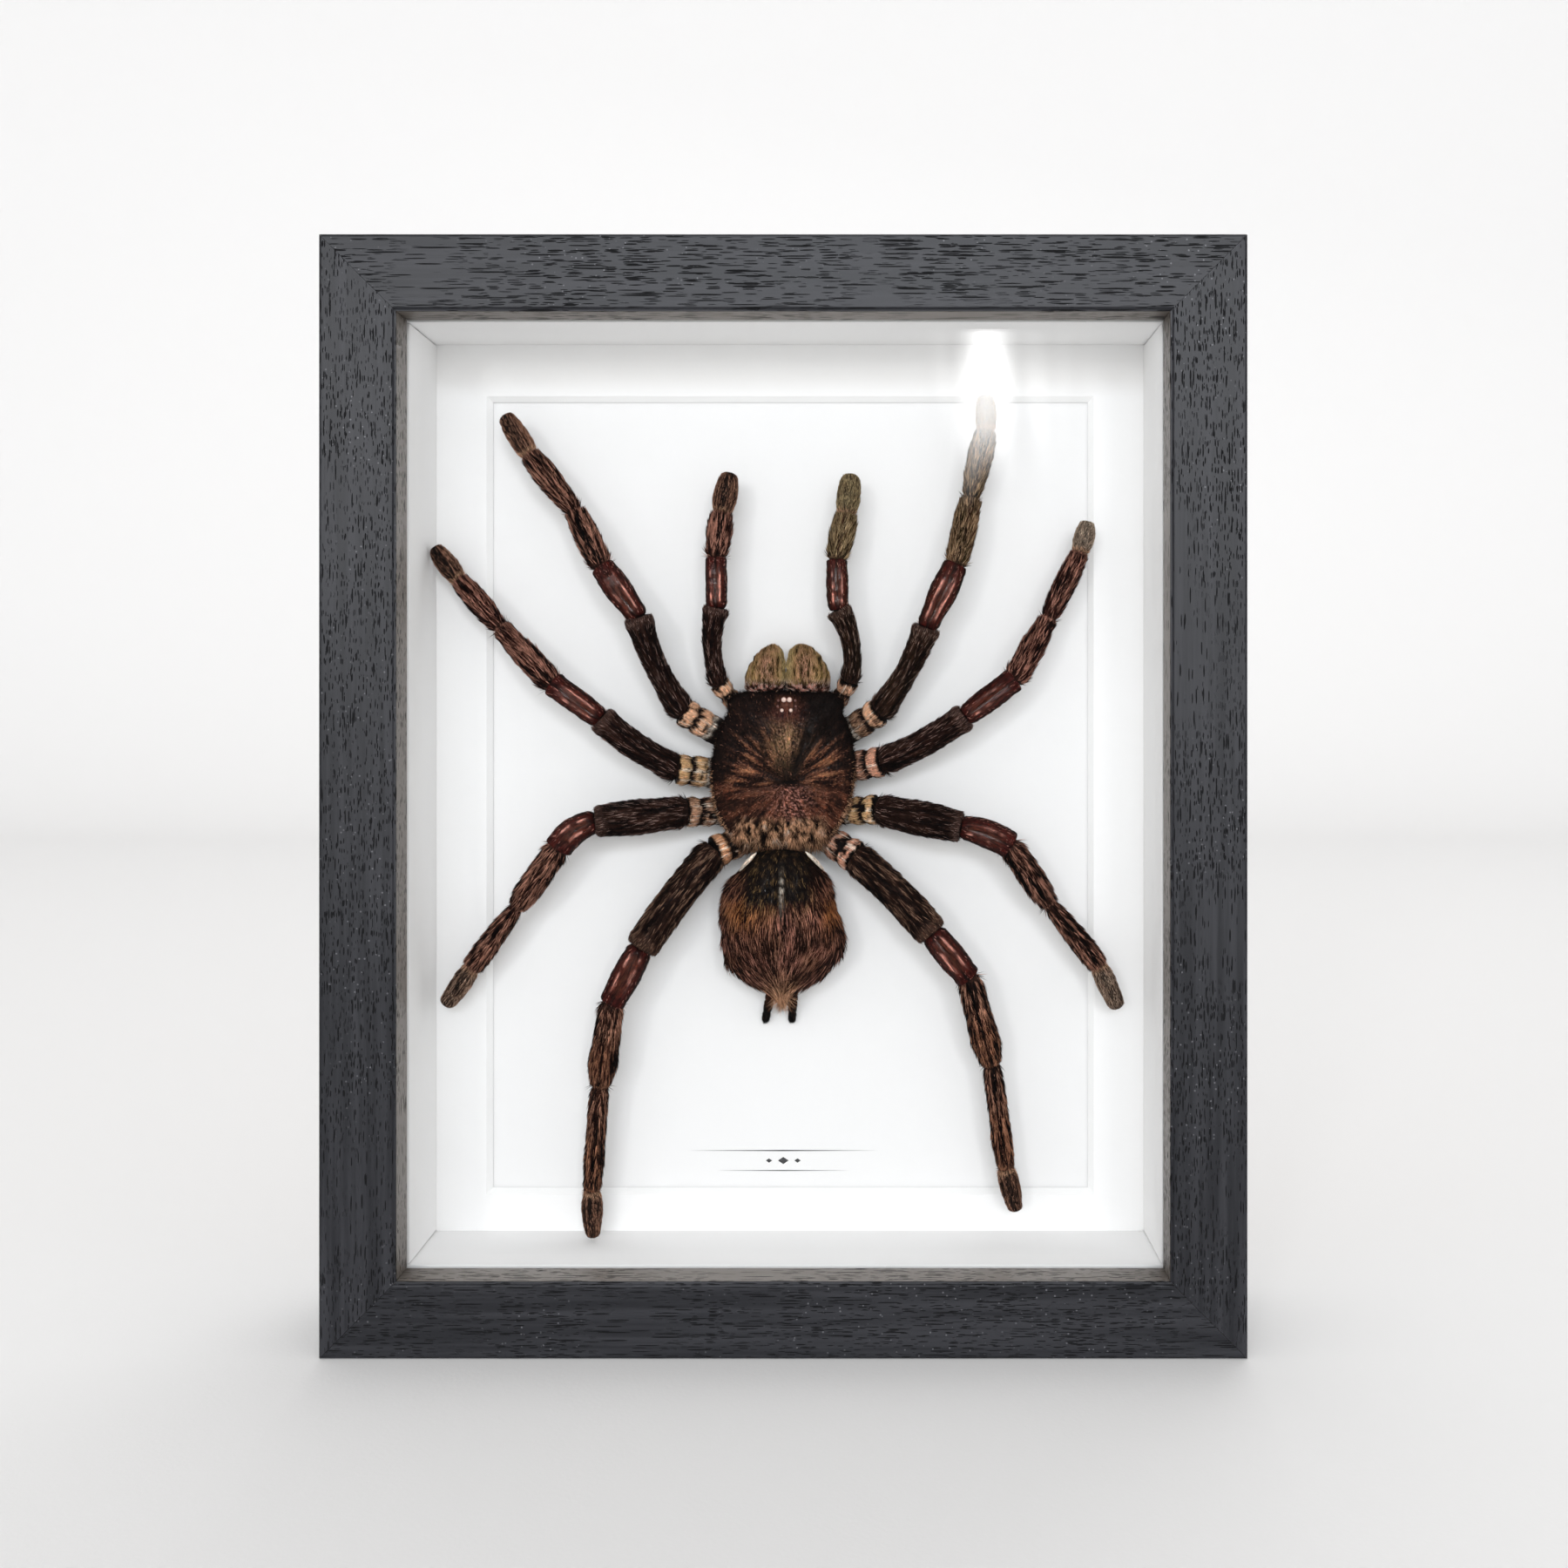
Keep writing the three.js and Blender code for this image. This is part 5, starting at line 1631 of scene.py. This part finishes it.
def buildChelicerae():
    for number, (name, plan) in enumerate(chelicerae.items()):
        reachAt = closedReach(plan["outline"])
        centreX, centreZ = plan["centre"]
        inner = 1 if name.endswith("left") else -1
        bm, layers = newBody()

        def lobe(facing, inner=inner, reachAt=reachAt, centreX=centreX, centreZ=centreZ):
            def surface(u, v):
                share = math.sin(v * math.pi / 2)
                allowance = 0.3 - 0.25 * eased(0.3, 0.8, math.cos(math.tau * u) * inner)
                reach = (reachAt(math.tau * u) - allowance) * share
                x, z = reach * math.cos(math.tau * u), reach * math.sin(math.tau * u)
                height = (1 - share**2.4) ** 0.5 if share < 1 else 0
                lift = 8.2 - 0.12 * z + facing * height * ((5.6 if facing > 0 else 4.6) - 0.12 * z)
                lift += 0.3 * noise.noise(Vector((x * 0.5, z * 0.4, inner))) * height
                skin, pale, strands, base, heart = cheliceraTints(x, z, inner)
                return spot(centreX + x, lift, centreZ + z), {
                    "tint": skin,
                    "place": (z, x * 0.8, lift * 0.8),
                    "gloss": 0.1,
                    "comb": Vector((0.12 * x / 5, 0, 1)),
                    "fur": (1.0 - 0.45 * heart - 0.4 * base) * (1 if facing > 0 else 0.6),
                    "furLength": 1.5 - 0.4 * base,
                    "furShare": strands,
                    "furTint": blendTint(skin, tints["umber"], 0.2),
                    "paleTint": pale,
                }
            return surface

        for facing in (1, -1):
            bendGrid(bm, layers, 72, 28, lobe(facing))
        bmesh.ops.remove_doubles(bm, verts=bm.verts, dist=weldDistance)
        addFang(bm, layers, centreX, inner)
        lobes = addPiece(name + "_lobe", bm, [cuticle], [name])
        growHair(name + "_hair", lobes, "chelicera", number)
    print("chelicerae made")


def addFang(bm, layers, centreX, inner):  # folded back under the lobe
    path = [
        Vector((centreX, 4.6, 181.2)), Vector((centreX, 2.8, 180.4)), Vector((centreX + 0.3 * inner, 1.9, 177.5)),
        Vector((centreX + 0.8 * inner, 2.0, 174.6)), Vector((centreX + 1.1 * inner, 2.6, 172.8)),
    ]

    def along(share):
        return Vector([throughPoints([point[k] for point in path], share) for k in range(3)])

    def surface(u, v):
        ahead = (along(min(v + 0.05, 1)) - along(max(v - 0.05, 0))).normalized()
        side = ahead.cross(Vector((1, 0, 0))).normalized()
        other = ahead.cross(side)
        radius = 1.25 * (1 - v) ** 0.7 if 0 < v < 1 else 0
        angle = math.tau * u
        point = along(v) + (side * math.cos(angle) + other * math.sin(angle)) * radius
        return spot(*point), {"tint": tints["black"], "place": (v, u, 0), "gloss": 1.0, "comb": Vector((0, 0, 1))}

    bendGrid(bm, layers, 20, 24, surface)


spinnerets = {
    "spinneret_left": ((-4.9, 4.5, 88.2), (-7.0, 2.5, 78.1)),
    "spinneret_right": ((1.1, 4.5, 88.2), (0.5, 2.5, 78.1)),
}


def buildSpinnerets():  # three short joints that taper to a blunt tip
    for number, (name, (start, end)) in enumerate(spinnerets.items()):
        bm, layers = newBody()
        start, end = Vector(start), Vector(end)
        ahead = (end - start).normalized()
        up = (Vector((0, 1, 0)) - ahead * ahead.y).normalized()
        side = ahead.cross(up)

        def surface(u, v, start=start, end=end, up=up, side=side, ahead=ahead):
            angle = math.tau * u
            radius = throughPoints((1.1, 1.25, 1.2, 1.1, 0.95), v) - 0.22 * (bell(v, 0.36, 0.03) + bell(v, 0.68, 0.03))
            radius *= math.sqrt(max(1 - ((v - 0.9) / 0.1) ** 2, 0)) if v > 0.9 else 1
            radius *= math.sqrt(max(1 - ((0.06 - v) / 0.06) ** 2, 0)) if v < 0.06 else 1
            radius += 0.05 * noise.noise(Vector((math.cos(angle), math.sin(angle), v * 6)))
            radius = radius if 0 < v < 1 else 0
            point = start.lerp(end, v) + (up * math.cos(angle) + side * math.sin(angle)) * radius
            tint = blendTint(tints["brown"], tints["black"], eased(0.2, 0.6, v))
            return spot(*point), {
                "tint": tint, "place": (v * 10, math.cos(angle), math.sin(angle)), "gloss": 0.1,
                "comb": Vector((ahead.x, -ahead.y, ahead.z)), "fur": 1.0, "furLength": 0.9, "furTint": tint,
                "paleTint": tints["russet"], "furShare": 0.35 * (1 - v),
            }

        bendGrid(bm, layers, 24, 48, surface)
        rod = addPiece(name + "_rod", bm, [cuticle], [name])
        growHair(name + "_hair", rod, "spinneret", number)
    print("spinnerets made")


placeCamera()
placeLights()
placeStage()
print("camera, lights and floor placed")
openPores, drawnStreaks, mattedFibre = poreGroup(), streakGroup(), fibreGroup()
whiteCard = cardMaterial("whiteCard", cardLook["white"], cardLook["shade"])
zincSteel = steelMaterial()
cuticle, bristle, eyeLens = cuticleMaterial(), hairMaterial(), eyeMaterial()
buildRails()
buildSheets()
buildMat()
buildPoints()
buildHanger()
buildCaption()
buildCephalothorax()
buildAbdomen()
buildChelicerae()
buildSpinnerets()
buildLimbs()
